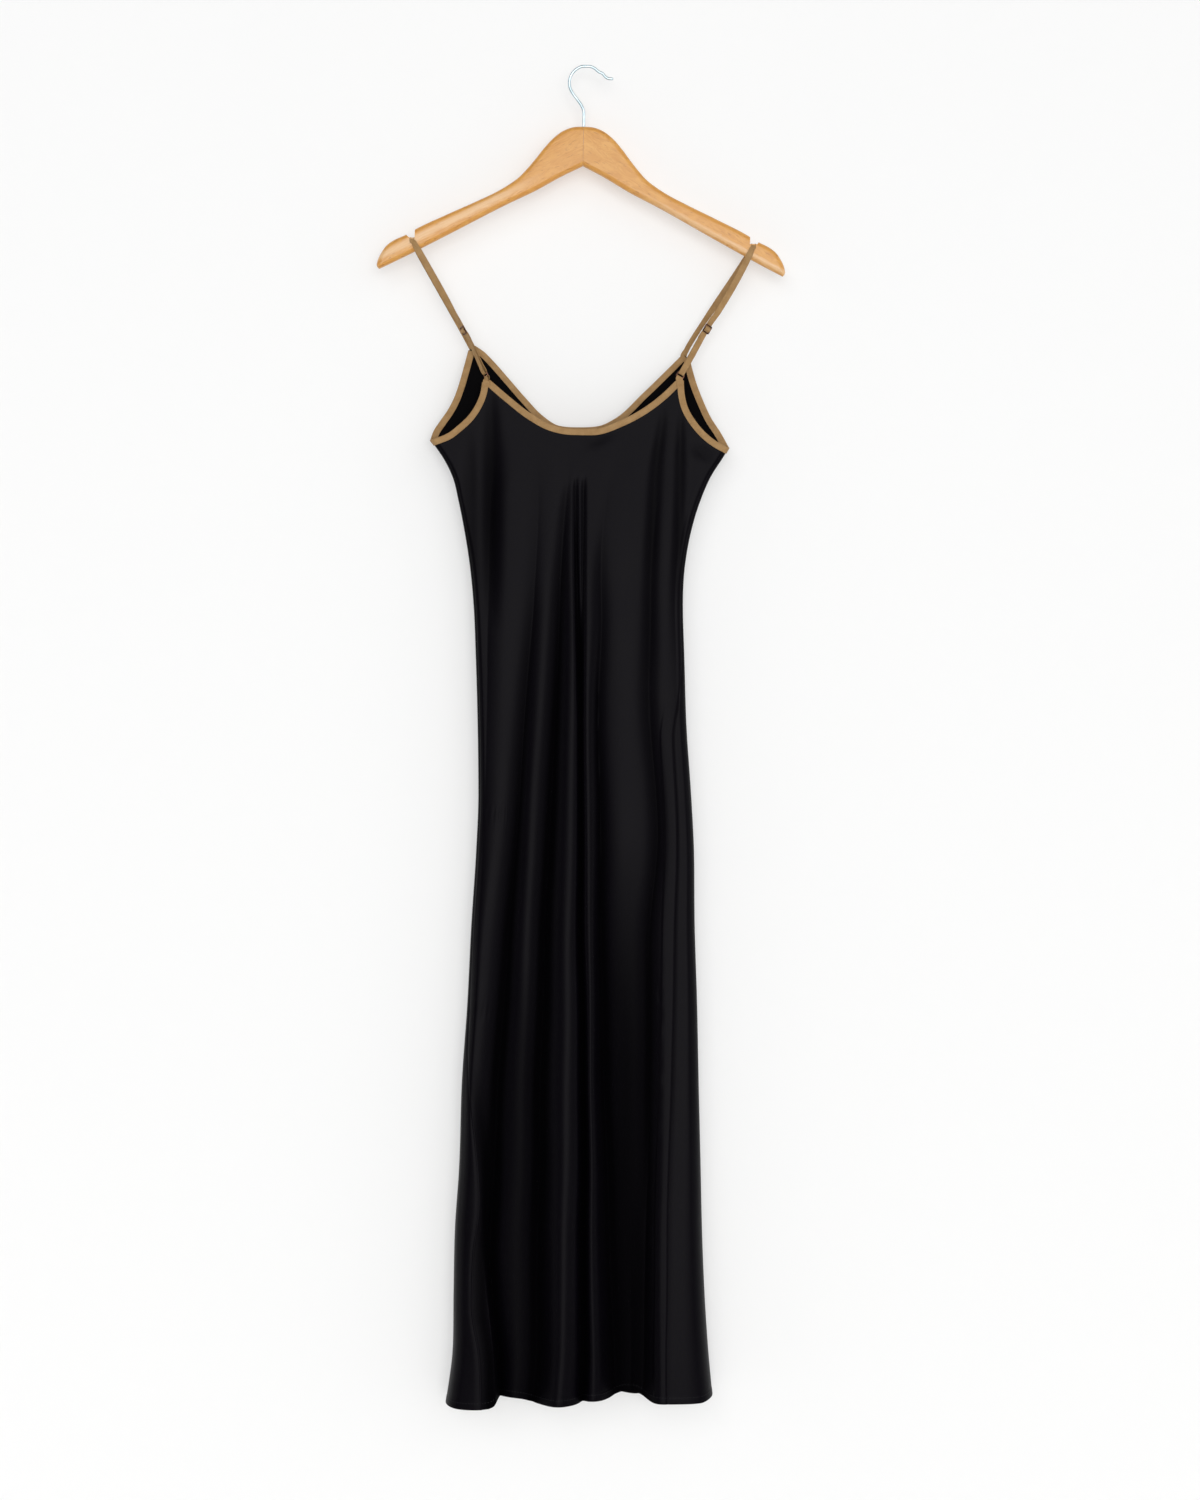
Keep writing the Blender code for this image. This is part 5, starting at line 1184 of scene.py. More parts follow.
def makeBackPanel():
    places, top, _ = backEdge()
    wrap = dress["wrapColumns"]
    evenOut, crowd = dress["backEven"]
    rearShare = places[wrap:-wrap] - 1
    rearShare = (1 - evenOut) * rearShare + evenOut * crowdedEnds(len(rearShare), crowd)
    toEdge = np.linspace(1, 0, wrap + 1)[:-1] ** dress["wrapCrowd"][1]

    def lowPlaces(z):
        # from the right seam round the right edge, along the rear and round the left edge
        right, left = seamShare(z, 2), seamShare(z, 1)
        parts = [1 - (1 - right[:, :wrap]) * toEdge, 1 + rearShare + 0 * z[:, wrap:-wrap]]
        parts.append(2 + left[:, -wrap:] * toEdge[::-1])
        return np.concatenate(parts, axis=1)

    foot = lowPlaces(np.full((1, len(places)), dress["hemLevel"]))[0]
    share = acrossShare(foot)
    hems = [hemHeight(dress[name], share) for name in ("frontHem", "backHem")]
    hem = np.where((foot < 1) | (foot > 2), *hems)
    z = panelRows(top, hem, dress["backRows"])
    place = settled(places, lowPlaces(z), top, z)
    left, right = seamShare(z, 1), seamShare(z, 2)
    place[:, 0], place[:, -1] = right[:, 0], 2 + left[:, -1]
    seamDistance = np.minimum(place - right, 2 + left - place) * sidesAt(z)[1]
    return panelShell("backPanelCloth", place, z, hem, seamDistance)


frontPanel, frontHemLine = makeFrontPanel()
backPanel, backHemLine = makeBackPanel()
print("panels made")

# Bindings: tape folded over each top edge

bindingTape = {
    "width": 7.1,  # of the finished binding
    "widthBack": 6.6,  # of the one on the back of the neck
    "leaf": 0.62,  # how far a leaf stands off the cloth
    "foldedEdge": 0.22,  # more at its turned lower edge
    "steps": 9,
    "strides": 3,
    "spacing": 1.3,  # of its rings, along the edge
    "smoothing": 6,  # passes over its directions
    "ripple": 0.07,
    "rippleShares": (0.4, 0.5),  # of it at the lip, and on the inner leaf
    "turnedEdgeFrom": 0.62,  # share of the way down
    "groove": (0.16, 0.06),  # depth, half width as a share of the way down
    "lip": (20, 45, 70, 90, 110, 135, 160),  # degrees round the top edge
    "under": 0.12,  # how far its ends go on below the leaves
    "endRise": 0.35,
    "endGap": 0.1,  # under the cloth's face, where its ends start
    "stitchIn": 1.3,
    "armholeRaised": 0.12,
    "seeds": {
        "frontNeckBinding": 3, "backNeckBinding": 5, "leftArmholeBinding": 7, "rightArmholeBinding": 11,
    },
}
stitch = {
    # spacing, length and radius
    "binding": (2.7, 1.8, 0.17),
    "hem": (3.2, 1.9, 0.14),
    # place in its length, share of its radius
    "along": ((-0.5, 0.15), (-0.4, 0.75), (0, 1.0), (0.4, 0.75), (0.5, 0.15)),
    "sides": 6,
    "flat": 0.7,  # its height beside its width
    "sunk": 0.12,  # share of its radius
}


def edgeFrame(places, heights):
    # points along a top edge with the cloth's normal and the way down the cloth
    onCloth = clothPoint(places, heights)
    normal = clothNormal(places, heights)
    run = unit(np.gradient(onCloth, axis=0))
    down = unit(np.cross(normal, run))
    down *= np.sign(-down[len(down) // 2, 2])
    return onCloth, normal, down


def walkDown(places, heights, heading, reach, steps, strides):
    # equal strides down the cloth from its edge: each heading is split into a move by place and
    # one by height, by the inverse of the slopes' own products
    place, height = np.array(places, float), np.array(heights, float)
    rows = [(place, height)]
    for _ in range(steps * strides):
        along, up = clothSlopes(place, height)
        alongAlong, upUp = np.sum(along * along, axis=1), np.sum(up * up, axis=1)
        alongUp = np.sum(along * up, axis=1)
        byAlong, byUp = np.sum(heading * along, axis=1), np.sum(heading * up, axis=1)
        spread = alongAlong * upUp - alongUp ** 2
        placeMove = (byAlong * upUp - byUp * alongUp) / spread
        heightMove = (byUp * alongAlong - byAlong * alongUp) / spread
        heading = along * placeMove[:, None] + up * heightMove[:, None]
        length = np.linalg.norm(heading, axis=1)
        stride = reach / (steps * strides) / length
        place, height = place + placeMove * stride, height + heightMove * stride
        heading = heading / length[:, None]
        rows.append((place, height))
    return rows[::strides]


def evenStations(places, heights, spacing):
    # the same path in steps of equal length
    points = clothPoint(places, heights)
    length = lengthAlong(points)
    count = int(length[-1] / spacing) + 1
    at = np.linspace(0, length[-1], count)
    return np.interp(at, length, places), np.interp(at, length, heights)


def smoothed(values, passes):
    # each value moves halfway to the mean of its neighbours, the ends stay
    for _ in range(passes):
        values[1:-1] = values[1:-1] * 0.5 + (values[:-2] + values[2:]) * 0.25
    return values


def puckers(length, seed, amount):
    # an uneven ripple along the tape, from a few sine waves
    random = np.random.default_rng(seed)
    total = np.zeros(len(length))
    for wave in (3.1, 4.7, 7.9, 13.0):
        total += np.sin(2 * np.pi * length / (wave * random.uniform(0.9, 1.1)) + random.uniform(0, 6.28))
    return amount * total / 2


def makeBinding(name, places, heights, reach, seed, raised=0.0):
    # two leaves down the cloth and a round lip over its edge, as one loop of points round the tape
    sizes = bindingTape
    places, heights = evenStations(places, heights, sizes["spacing"])
    onCloth, normal, down = edgeFrame(places, heights)
    down = unit(smoothed(down, sizes["smoothing"]))
    rows = walkDown(places, heights, down, reach, sizes["steps"], sizes["strides"])
    points = np.stack([clothPoint(*row) for row in rows])
    normals = np.stack([clothNormal(*row) for row in rows])
    ripple = puckers(lengthAlong(onCloth), seed, sizes["ripple"])
    share = np.linspace(0, 1, sizes["steps"] + 1)
    # a leaf's profile: turned edge thick, a groove at the stitching, then smooth to the lip
    stitchAt = 1 - sizes["stitchIn"] / reach
    depth, halfWidth = sizes["groove"]
    turnedEdge = ease((share - sizes["turnedEdgeFrom"]) / (1 - sizes["turnedEdgeFrom"]))
    profile = sizes["leaf"] + sizes["foldedEdge"] * turnedEdge
    profile = profile - depth * bell((share - stitchAt) / halfWidth)
    atLip, inside = sizes["rippleShares"]
    outOffset = profile[:, None] + ripple[None] * (atLip + share[:, None]) + raised
    inOffset = -dress["cloth"] - profile[:, None] - ripple[None] * inside
    outer = points + normals * outOffset[..., None]
    inner = points + normals * inOffset[..., None]
    radius = (outOffset[0] - inOffset[0]) / 2
    centre = onCloth + normal * ((outOffset[0] + inOffset[0]) / 2)[:, None]
    lip = [
        centre + normal * (radius * math.cos(a))[:, None] - down * (dress["edgeUnderTape"] * math.sin(a))
        for a in np.radians(sizes["lip"])
    ]
    under, rise = down * sizes["under"], normals[-1] * sizes["endRise"]
    foot = points[-1] - normals[-1] * sizes["endGap"]
    rear = points[-1] + normals[-1] * (sizes["endGap"] - dress["cloth"])
    rings = [foot, foot + rise + under, *outer[::-1], *lip, *inner, rear - rise + under, rear]
    piece = loftPiece(name, np.stack(rings, axis=1), tapeMaterial)
    return piece, stitchLines(outer, inner, normals, sizes["stitchIn"] / (reach / sizes["steps"]))


def stitchLines(outer, inner, normals, stepsIn):
    # a line on each leaf, this many steps in from its lower edge
    level = int(stepsIn)
    lines = []
    for surface, out in ((outer, 1), (inner, -1)):
        below, above = surface[-1 - level], surface[-2 - level]
        lines.append((below + (above - below) * (stepsIn - level), normals[-1 - level] * out))
    return lines


def stitchPiece(name, lines, material, spacing, size, radius):
    # short rounded stitches along lines: rings of points, pulled in at both ends
    angles = (np.arange(stitch["sides"]) * 2 * math.pi / stitch["sides"])[None, :, None, None]
    shares, swell = (np.array(column)[:, None, None, None] for column in zip(*stitch["along"]))
    rings = (len(stitch["along"]), stitch["sides"])
    points, faces = [], []
    count = 0
    for line, normals in lines:
        length = lengthAlong(line)
        centres = np.arange(spacing, length[-1] - spacing / 2, spacing)
        run = unit(readAt(centres, length, unit(np.gradient(line, axis=0))))
        side = unit(np.cross(run, readAt(centres, length, normals)))
        lift = np.cross(side, run)
        ring = np.cos(angles) * side + stitch["flat"] * np.sin(angles) * lift
        body = readAt(centres, length, line) + shares * size * run - stitch["sunk"] * radius * lift
        body = (body + radius * swell * ring).transpose(2, 0, 1, 3)
        index = np.arange(len(centres) * math.prod(rings)).reshape(-1, *rings) + count
        beside = np.roll(index, -1, axis=2)
        cells = np.stack([index[:, :-1], beside[:, :-1], beside[:, 1:], index[:, 1:]], axis=-1)
        faces += [*cells.reshape(-1, 4), *index[:, 0, ::-1], *index[:, -1]]
        points.append(body.reshape(-1, 3))
        count += index.size
    return meshPiece(name, np.concatenate(points), faces, None, material, smooth=80)


def makeBindings():
    # neck tapes along the front and the back, armhole tapes from the front round to the back
    frontPlaces, frontHeights, frontCorners = frontEdge()
    backPlaces, backHeights, backCorners = backEdge()
    made = {}
    lines = []

    def bind(name, places, heights, width, raised=0.0):
        seed = bindingTape["seeds"][name]
        made[name], stitches = makeBinding(
            name, places, heights, width - dress["edgeUnderTape"], seed, raised,
        )
        lines.extend(stitches)

    for name, places, heights, corners, width in (
        ("frontNeckBinding", frontPlaces, frontHeights, frontCorners[1], bindingTape["width"]),
        ("backNeckBinding", backPlaces, backHeights, backCorners[1], bindingTape["widthBack"]),
    ):
        span = slice(corners[0], corners[1] + 1)
        bind(name, places[span], heights[span], width)
    frontLeft = slice(frontCorners[0][1], frontCorners[0][0], -1)
    frontRight = slice(frontCorners[2][0], frontCorners[2][1])
    backLeft = slice(len(backPlaces) - 1, backCorners[2][0] - 1, -1)
    backRight = slice(0, backCorners[0][1] + 1)
    for name, front, turn, rear in (
        ("leftArmholeBinding", frontLeft, 2, backLeft),
        ("rightArmholeBinding", frontRight, 0, backRight),
    ):
        places = np.concatenate([frontPlaces[front] + turn, backPlaces[rear]])
        heights = np.concatenate([frontHeights[front], backHeights[rear]])
        bind(name, places, heights, bindingTape["width"], bindingTape["armholeRaised"])
    return made, stitchPiece("bindingStitches", lines, tapeThread, *stitch["binding"])


bindings, bindingStitches = makeBindings()
hemStitching = stitchPiece("hemStitches", [frontHemLine, backHemLine], blackThread, *stitch["hem"])
print("bindings made")

# The hanger: two arms and the hook, in an upright frame that leans a little

hanger = {
    "lean": math.radians(1.1),
    "jointX": -2.4,
    "thick": 12.0,
    "rounding": 5.0,
    "bevelSteps": 6,
    "jointGap": 0.1,
    "pastJoint": 8.0,  # an arm is shaped this far past the joint, then cut there
    # distance out from the joint, height
    "top": (
        (0, -64.5), (12, -65.5), (22, -69.5), (32, -77), (42, -88), (52, -101), (61, -112), (70, -121.5),
        (80, -129), (93, -137), (114, -147.5), (146, -162.5), (181.5, -180),
    ),
    "end": (
        (191.5, -186), (204, -192), (211, -197), (217, -205), (221.5, -215), (222.3, -220), (219.5, -223.3),
    ),
    "underside": ((195, -211), (145, -184.5), (80, -149.5), (50, -134.5), (24, -119.5), (0, -107.3)),
    # each notch, left and right: out to its upright wall, to its floor's end and to its outer lip
    "notches": ((181.2, 187.0, 190.4), (183.2, 191.2, 192.8)),
    "notchLip": -186.6,
    "notchCentre": (184.1, 187.0),  # of the strap
    "notchFloor": -189.45,
    "cutterRise": 40,
    "cutterReach": 20.0,
    "sharpFrom": 35,  # degrees between two faces
    "wireRadius": 1.6,
    "hookRadius": 18.3,
    "hookCentreX": -0.6,
    "hookSweep": (198, 42),  # degrees, from the neck over the top to the tip
    "hookNeck": (
        (-2.4, -84), (-2.4, -70), (-2.4, -57), (-2.6, -48.5), (-5.4, -41.2), (-10.6, -34), (-15.2, -28),
    ),
    "hookTip": ((16.8, -6), (19.9, -9.4), (23.3, -11.5), (27.4, -11.8)),
}


def leaned(points):
    # turned about Y by the hanger's lean
    c, s = math.cos(hanger["lean"]), math.sin(hanger["lean"])
    x, y, z = np.moveaxis(np.asarray(points, float), -1, 0)
    return np.stack([x * c + z * s, y, -x * s + z * c], axis=-1)


def armOutline():
    top = curveThrough([*hanger["top"], *hanger["end"]], np.linspace(0, 1, 110))
    underside = curveThrough([hanger["end"][-1], *hanger["underside"]], np.linspace(0, 1, 60))
    past = -hanger["pastJoint"]
    (outA, lowA), (outB, lowB) = hanger["underside"][-2:]
    beyond = lowB + (lowB - lowA) / (outB - outA) * past
    return [(past, top[0][1]), *top, *underside[1:], (past, beyond)]


def keepFaces(shape, mesh):
    # into the mesh, with the faces turned outwards
    bmesh.ops.recalc_face_normals(shape, faces=shape.faces)
    shape.to_mesh(mesh)
    shape.free()


def notchCutter(side):
    # an upright prism through the arm, the notch in its outline
    wall, floorEnd, lip = hanger["notches"][0 if side < 0 else 1]
    floor, above = hanger["notchFloor"], hanger["notchFloor"] + hanger["cutterRise"]
    profile = [(wall, floor), (floorEnd, floor), (lip, hanger["notchLip"]), (lip + 4, above), (wall, above)]
    reach = hanger["cutterReach"]
    points = leaned([(hanger["jointX"] + side * out, y, z) for y in (-reach, reach) for out, z in profile])
    beside = [(k, (k + 1) % 5, (k + 1) % 5 + 5, k + 5) for k in range(5)]
    mesh = bpy.data.meshes.new("notchCutter")
    mesh.from_pydata((points * mm).tolist(), [], [*beside, (4, 3, 2, 1, 0), (5, 6, 7, 8, 9)])
    shape = bmesh.new()
    shape.from_mesh(mesh)
    keepFaces(shape, mesh)
    return addObject("notchCutter", mesh)


def evaluated(thing):
    bpy.context.view_layer.update()
    return bpy.data.meshes.new_from_object(thing.evaluated_get(bpy.context.evaluated_depsgraph_get()))


def armBlank(name, side):
    # the outline as a filled curve with a rounded bevel, made a mesh and stood upright
    outline = armOutline()
    data = bpy.data.curves.new(name + "Outline", "CURVE")
    data.dimensions = "2D"
    data.fill_mode = "BOTH"
    data.extrude = (hanger["thick"] / 2 - hanger["rounding"]) * mm
    data.bevel_depth = hanger["rounding"] * mm
    data.offset = -hanger["rounding"] * mm
    data.bevel_resolution = hanger["bevelSteps"]
    spline = data.splines.new("POLY")
    spline.points.add(len(outline) - 1)
    flat = [((hanger["jointX"] + side * out) * mm, z * mm, 0, 1) for out, z in outline]
    spline.points.foreach_set("co", np.array(flat).ravel())
    spline.use_cyclic_u = True
    holder = addObject(name + "Outline", data)
    mesh = evaluated(holder)
    bpy.data.objects.remove(holder, do_unlink=True)
    points = np.empty(len(mesh.vertices) * 3)
    mesh.vertices.foreach_get("co", points)
    x, y, z = points.reshape(-1, 3).T
    mesh.vertices.foreach_set("co", leaned(np.stack([x, -z, y], axis=-1)).ravel())
    return mesh


def makeArm(name, side, material):
    # the blank cut off at the joint, its end filled, less the notch
    mesh = armBlank(name, side)
    shape = bmesh.new()
    shape.from_mesh(mesh)
    bmesh.ops.remove_doubles(shape, verts=shape.verts, dist=1e-6)
    joint = leaned((hanger["jointX"] + side * hanger["jointGap"] / 2, 0, 0)) * mm
    bmesh.ops.bisect_plane(
        shape, geom=[*shape.verts, *shape.edges, *shape.faces], plane_co=joint,
        plane_no=leaned((side, 0, 0)), clear_inner=True,
    )
    bmesh.ops.holes_fill(shape, edges=[edge for edge in shape.edges if edge.is_boundary], sides=0)
    keepFaces(shape, mesh)
    arm = addObject(name, mesh)
    cutter = notchCutter(side)
    cut = arm.modifiers.new("notch", "BOOLEAN")
    cut.operation = "DIFFERENCE"
    cut.solver = "EXACT"
    cut.object = cutter
    notched = evaluated(arm)
    arm.modifiers.clear()
    bpy.data.objects.remove(cutter, do_unlink=True)
    notched.materials.clear()
    notched.materials.append(material)
    notched.shade_smooth()
    notched.set_sharp_from_angle(angle=math.radians(hanger["sharpFrom"]))
    notched.name = name
    arm.data = notched
    return arm


def tube(name, route, radius, sides, material, closed=False, roundEnd=0):
    # a round wire along a route in a plane, its rings square to it; roundEnd rings close its tip
    route = np.asarray(route, float)
    radii = np.full(len(route), radius)
    if closed:
        run = unit(np.roll(route, -1, axis=0) - np.roll(route, 1, axis=0))
        flatWay = np.cross(route[0] - route.mean(axis=0), run[0])
    else:
        run = unit(np.gradient(route, axis=0))
        flatWay = (0.0, 1.0, 0.0)
    if roundEnd:
        angles = np.linspace(0, math.pi / 2, roundEnd + 1)[1:]
        tip = route[-1] + run[-1] * radius * np.sin(angles)[:, None]
        route = np.concatenate([route, tip])
        run = np.concatenate([run, np.repeat(run[-1:], roundEnd, axis=0)])
        radii = np.concatenate([radii, radius * np.maximum(np.cos(angles), 0.02)])
    side = unit(np.cross(run, unit(flatWay)))
    lift = np.cross(side, run)
    angles = (np.arange(sides) * 2 * math.pi / sides)[None, :, None]
    ring = np.cos(angles) * side[:, None] + np.sin(angles) * lift[:, None]
    return loftPiece(name, route[:, None] + radii[:, None, None] * ring, material, closedAlong=closed)


def makeHook():
    # the neck, then an arc round the hook's centre, then the tip, on one smooth curve
    radius = hanger["hookRadius"]
    centreX, centreZ = hanger["hookCentreX"], hanger["wireRadius"] - radius
    angles = np.radians(np.linspace(*hanger["hookSweep"], 9))
    bend = [(centreX + radius * math.cos(a), centreZ + radius * math.sin(a)) for a in angles]
    flat = curveThrough([*hanger["hookNeck"], *bend, *hanger["hookTip"]], np.linspace(0, 1, 220))
    route = leaned(np.stack([flat[:, 0], np.zeros(len(flat)), flat[:, 1]], axis=1))
    return tube("hookWire", route, hanger["wireRadius"], 24, wireMaterial, roundEnd=5)


armLeft = makeArm("hangerArmLeftWood", -1, makeBeech("beechLeft", "left"))
armRight = makeArm("hangerArmRightWood", 1, makeBeech("beechRight", "right"))
hookWire = makeHook()
print("hanger made")

# Straps, rings, sliders and tabs

strap = {
    "width": 7.1,
    "wall": 0.6,
    "notchWidth": 5.2,
    "widens": 0.12,  # share of a leg in which the strap widens from the notch
    "ringWidth": 6.3,
    "ringOuter": (9.0, 6.0),
    "sliderOuter": (9.6, 9.4),
    "metalRadius": 0.7,
    "metalCorner": 0.8,
    "gap": 0.1,
    "hair": 0.05,
    # ring x and height, its turn about the strap in degrees, slider x and height, its turn
    "left": (-109.9, -335.4, 60, -134.2, -287.2, 62),
    "right": (101.3, -336.0, -8, 130.6, -285.6, -36),
    "turnGrows": {"left": 3.0, "right": 1.4},
    # how far each leg bows to the right
    "rearBow": {"left": 3.0, "right": -18.0},
    "frontBow": {"left": 1.0, "right": 9.0},
    "rearBowPowers": (0.5, 2.2),  # of the shares from the cloth and from the notch
    # the rear leg's turn, the share in which it comes in, and where and in how much it ends
    "rearTurn": {"left": 0, "right": -38},
    "rearTurnShares": (0.1, 0.58, 0.25),
    "frontY": -9.2,
    "hangerY": 6.5,
    "legDrop": 2.0,
    "rearLeg": (0, 0.04, 0.1, 0.2, 0.3, 0.45, 0.6, 0.8, 0.88, 0.94, 0.98),
    "frontLeg": (0.03, 0.06, 0.12, 0.25, 0.5, 0.75, 0.9),
    "notchBend": (-20, 0, 30, 60, 90),
    "notchRounding": 3.0,
    "aboveSlider": 9.0,
    "sliderStations": (6.6, 5.4, 4.3, 3.2, 2.2, 1.2, 0, -1.2, -2.2, -3.2, -4.3, -5.6, -7.2),
    "loopShares": (0.25, 0.5, 0.75),
    "ringBend": (0, 30, 60, 90, 120, 150, 180),
    # the returning leaf by the slider: share of the loop, how much wider it is there
    "sewnStep": ((0.13, 0.0), (0.105, 0.9), (0, 0.9)),
    "sewnEnd": ((-4.3, 1.0), (-2.2, 0.5), (-0.6, 0.0), (1.2, 0.0)),
    "sewnNarrower": 0.6,
    "footRise": math.radians(60),
    "footBelow": 5.0,  # the strap's end is sewn on this far below the peak
    "footOut": 1.5,
    "cadOver": 1.6,  # the solids' binding stands this far beyond the cloth's edge
    "cadWall": 1.2,
    "tabLeafShares": (0, 0.5, 0.75),
    "tabLipShare": 0.75,
    "tabStraight": 1.4,
    "tabReach": 6.4,
    "tabWidth": 7.2,
    "tabSunk": 0.55,
    # the tape across: place from its middle to an edge, half its thickness in walls
    "across": (-1, -0.985, -0.93, -0.8, -0.66, -0.4, 0, 0.4, 0.66, 0.8, 0.93, 0.985, 1),
    "halfWall": (0.1, 0.3, 0.46, 0.5, 0.44, 0.47, 0.48, 0.47, 0.44, 0.5, 0.46, 0.3, 0.1),
    "thickRipple": (0.05, 0.6),
    "edgeRipple": 0.012,
    # spacing of a tape's rings, first seed, and how far it cups for each mm it is squeezed
    "strapRings": (0.8, 20, 0.18),
    "tabRings": (0.5, 30, 0.1),
}


def strapFrame(row):
    # ring centre, slider centre, direction up the strap, and the width and face directions there
    ring = np.array([row[0], strap["frontY"], row[1]])
    slider = np.array([row[3], strap["frontY"], row[4]])
    up = unit(slider - ring)
    across = unit(np.cross((0, 1, 0), up))
    across = across * np.sign(across[0])
    face = np.cross(across, up)
    return ring, slider, up, across, face * np.sign(-face[1])


def turned(across, face, degrees):
    # the width and face directions after a turn about the strap's own line
    a = math.radians(degrees)
    return across * math.cos(a) + face * math.sin(a), face * math.cos(a) - across * math.sin(a)


def legWidth(share):
    # narrow at the notch and full a little way from it
    return strap["notchWidth"] + (strap["width"] - strap["notchWidth"]) * ease(share / strap["widens"])


def rearLeg(notch, backEnd, sideName):
    # up from the back's peak, bowed to one side and turned on the way
    s = strap
    top = notch + (0, s["hangerY"], -s["legDrop"])
    across = unit(np.cross((0, 1, 0), unit(top - backEnd)))
    across *= np.sign(across[0])
    comesIn, ends, goes = s["rearTurnShares"]
    fromCloth, fromNotch = s["rearBowPowers"]
    rows = []
    for share in s["rearLeg"]:
        bow = s["rearBow"][sideName] * share ** fromCloth * (1 - share) ** fromNotch
        turn = s["rearTurn"][sideName] * ease(share / comesIn) * ease((ends - share) / goes)
        w, f = turned(across, np.array([0.0, 1.0, 0.0]), turn)
        rows.append((backEnd + (top - backEnd) * share + (bow, 0, 0), w * legWidth(1 - share), f))
    return rows


def overNotch(notch):
    # over the arm's top, from the rear to the front
    s = strap
    flat = hanger["thick"] / 2 - s["notchRounding"]
    bend = s["hangerY"] - flat
    angles = np.radians(s["notchBend"])
    corner = [(flat + bend * math.cos(a), bend * math.sin(a) - s["notchRounding"]) for a in angles]
    width = leaned((1, 0, 0)) * s["notchWidth"]
    rows = []
    for y, z in corner + [(-y, z) for y, z in reversed(corner)]:
        out = unit((0, math.copysign(max(abs(y) - flat, 0.01), y), max(z + s["notchRounding"], 0)))
        rows.append((notch + (0, y, z), width, out))
    return rows


def frontLeg(notch, row, sideName):
    # down to the slider, bowed and turning more and more
    s = strap
    _, slider, up, across, face = strapFrame(row)
    top = notch + (0, -s["hangerY"], -s["legDrop"])
    goal = slider + up * s["aboveSlider"]
    rows = []
    for share in s["frontLeg"]:
        w, f = turned(across, face, row[5] * share ** s["turnGrows"][sideName])
        bow = s["frontBow"][sideName] * share * (1 - share)
        rows.append((top + (goal - top) * share + (bow, 0, 0), w * legWidth(share), f))
    return rows


def throughMetal(row):
    # down through the slider, round the ring's bar and back up, where its end is sewn to the slider
    s = strap
    ring, slider, up, across, face = strapFrame(row)
    bar = (s["sliderOuter"][1] - 2 * s["metalRadius"]) / 2
    weave = s["metalRadius"] + s["gap"] + s["wall"] / 2 + s["hair"]
    backWeave = weave + s["wall"] + s["gap"] + s["hair"]
    lower = (s["ringOuter"][1] - 2 * s["metalRadius"]) / 2
    below = s["sliderStations"][-1]
    span = np.linalg.norm(slider - ring) + below - lower
    w, f = turned(across, face, row[5])
    rows = []

    def addLeaf(share, away, wider, side):
        # at this share of the way from the slider down to the ring
        w, f = turned(across, face, row[5] + (row[2] - row[5]) * share)
        width = s["width"] + (s["ringWidth"] - s["width"]) * ease(share) + wider
        rows.append((slider + up * (below - span * share) + f * away, w * width, f * side))

    for station in s["sliderStations"]:
        away = weave * math.cos(math.pi * station / bar) if abs(station) <= bar else -weave
        rows.append((slider + up * station + f * away, w * s["width"], f))
    for share in s["loopShares"]:
        addLeaf(share, weave * (2 * ease(share) - 1), 0.0, 1)
    ringAcross, ringFace = turned(across, face, row[2])
    for a in np.radians(s["ringBend"]):
        out = ringFace * math.cos(a) - up * math.sin(a)
        rows.append((ring + up * lower + out * weave, ringAcross * s["ringWidth"], out))
    for share, wider in [*((share, 0.0) for share in reversed(s["loopShares"])), *s["sewnStep"]]:
        addLeaf(share, -backWeave + (backWeave - weave) * ease(share), wider, -1)
    for station, share in s["sewnEnd"]:
        away = weave + (backWeave - weave) * share
        rows.append((slider + up * station - f * away, w * (s["width"] - s["sewnNarrower"]), -f))
    return rows


def strapRoute(row, backEnd, side, sideName):
    # centre, width vector and face direction, from the sewn end over the notch to the looped end
    notchOut = hanger["notchCentre"][0 if side < 0 else 1]
    notch = leaned((hanger["jointX"] + side * notchOut, 0, hanger["notchFloor"]))
    toNotch = rearLeg(notch, backEnd, sideName) + overNotch(notch)
    return toNotch + frontLeg(notch, row, sideName) + throughMetal(row)


def ringTabRoute(row, peak, out):
    # a short tape folded over the ring's lower bar, one leaf on each side of the binding
    s = strap
    ring, _, up, across, face = strapFrame(row)
    bar = ring - up * (s["ringOuter"][1] - 2 * s["metalRadius"]) / 2
    loop = s["metalRadius"] + s["wall"] / 2 + 2 * s["gap"]
    spread = s["cadWall"] / 2 + 2 * s["gap"] + 1.5 * s["wall"] + 2 * s["gap"]
    level = unit(peak[1] - peak[0])
    mid = peak.mean(axis=0) - out * s["cadWall"] / 2
    w, f = turned(across, face, row[2])

    def leaf(out):
        rows = []
        for share in s["tabLeafShares"]:
            drop = s["tabReach"] * (1 - share / s["tabLipShare"])
            away = spread * (s["tabSunk"] if share == 0 else 1)
            rows.append((mid - (0, 0, drop) + out * away, level * s["tabWidth"], out))
        return rows

    bend = []
    for degrees, drop in [(0, s["tabStraight"]), *((a, 0) for a in s["ringBend"]), (180, s["tabStraight"])]:
        a = math.radians(degrees)
        direction = f * math.cos(a) + up * math.sin(a)
        bend.append((bar + direction * loop - up * drop, w * s["ringWidth"], direction))
    return leaf(out) + bend + leaf(-out)[::-1]


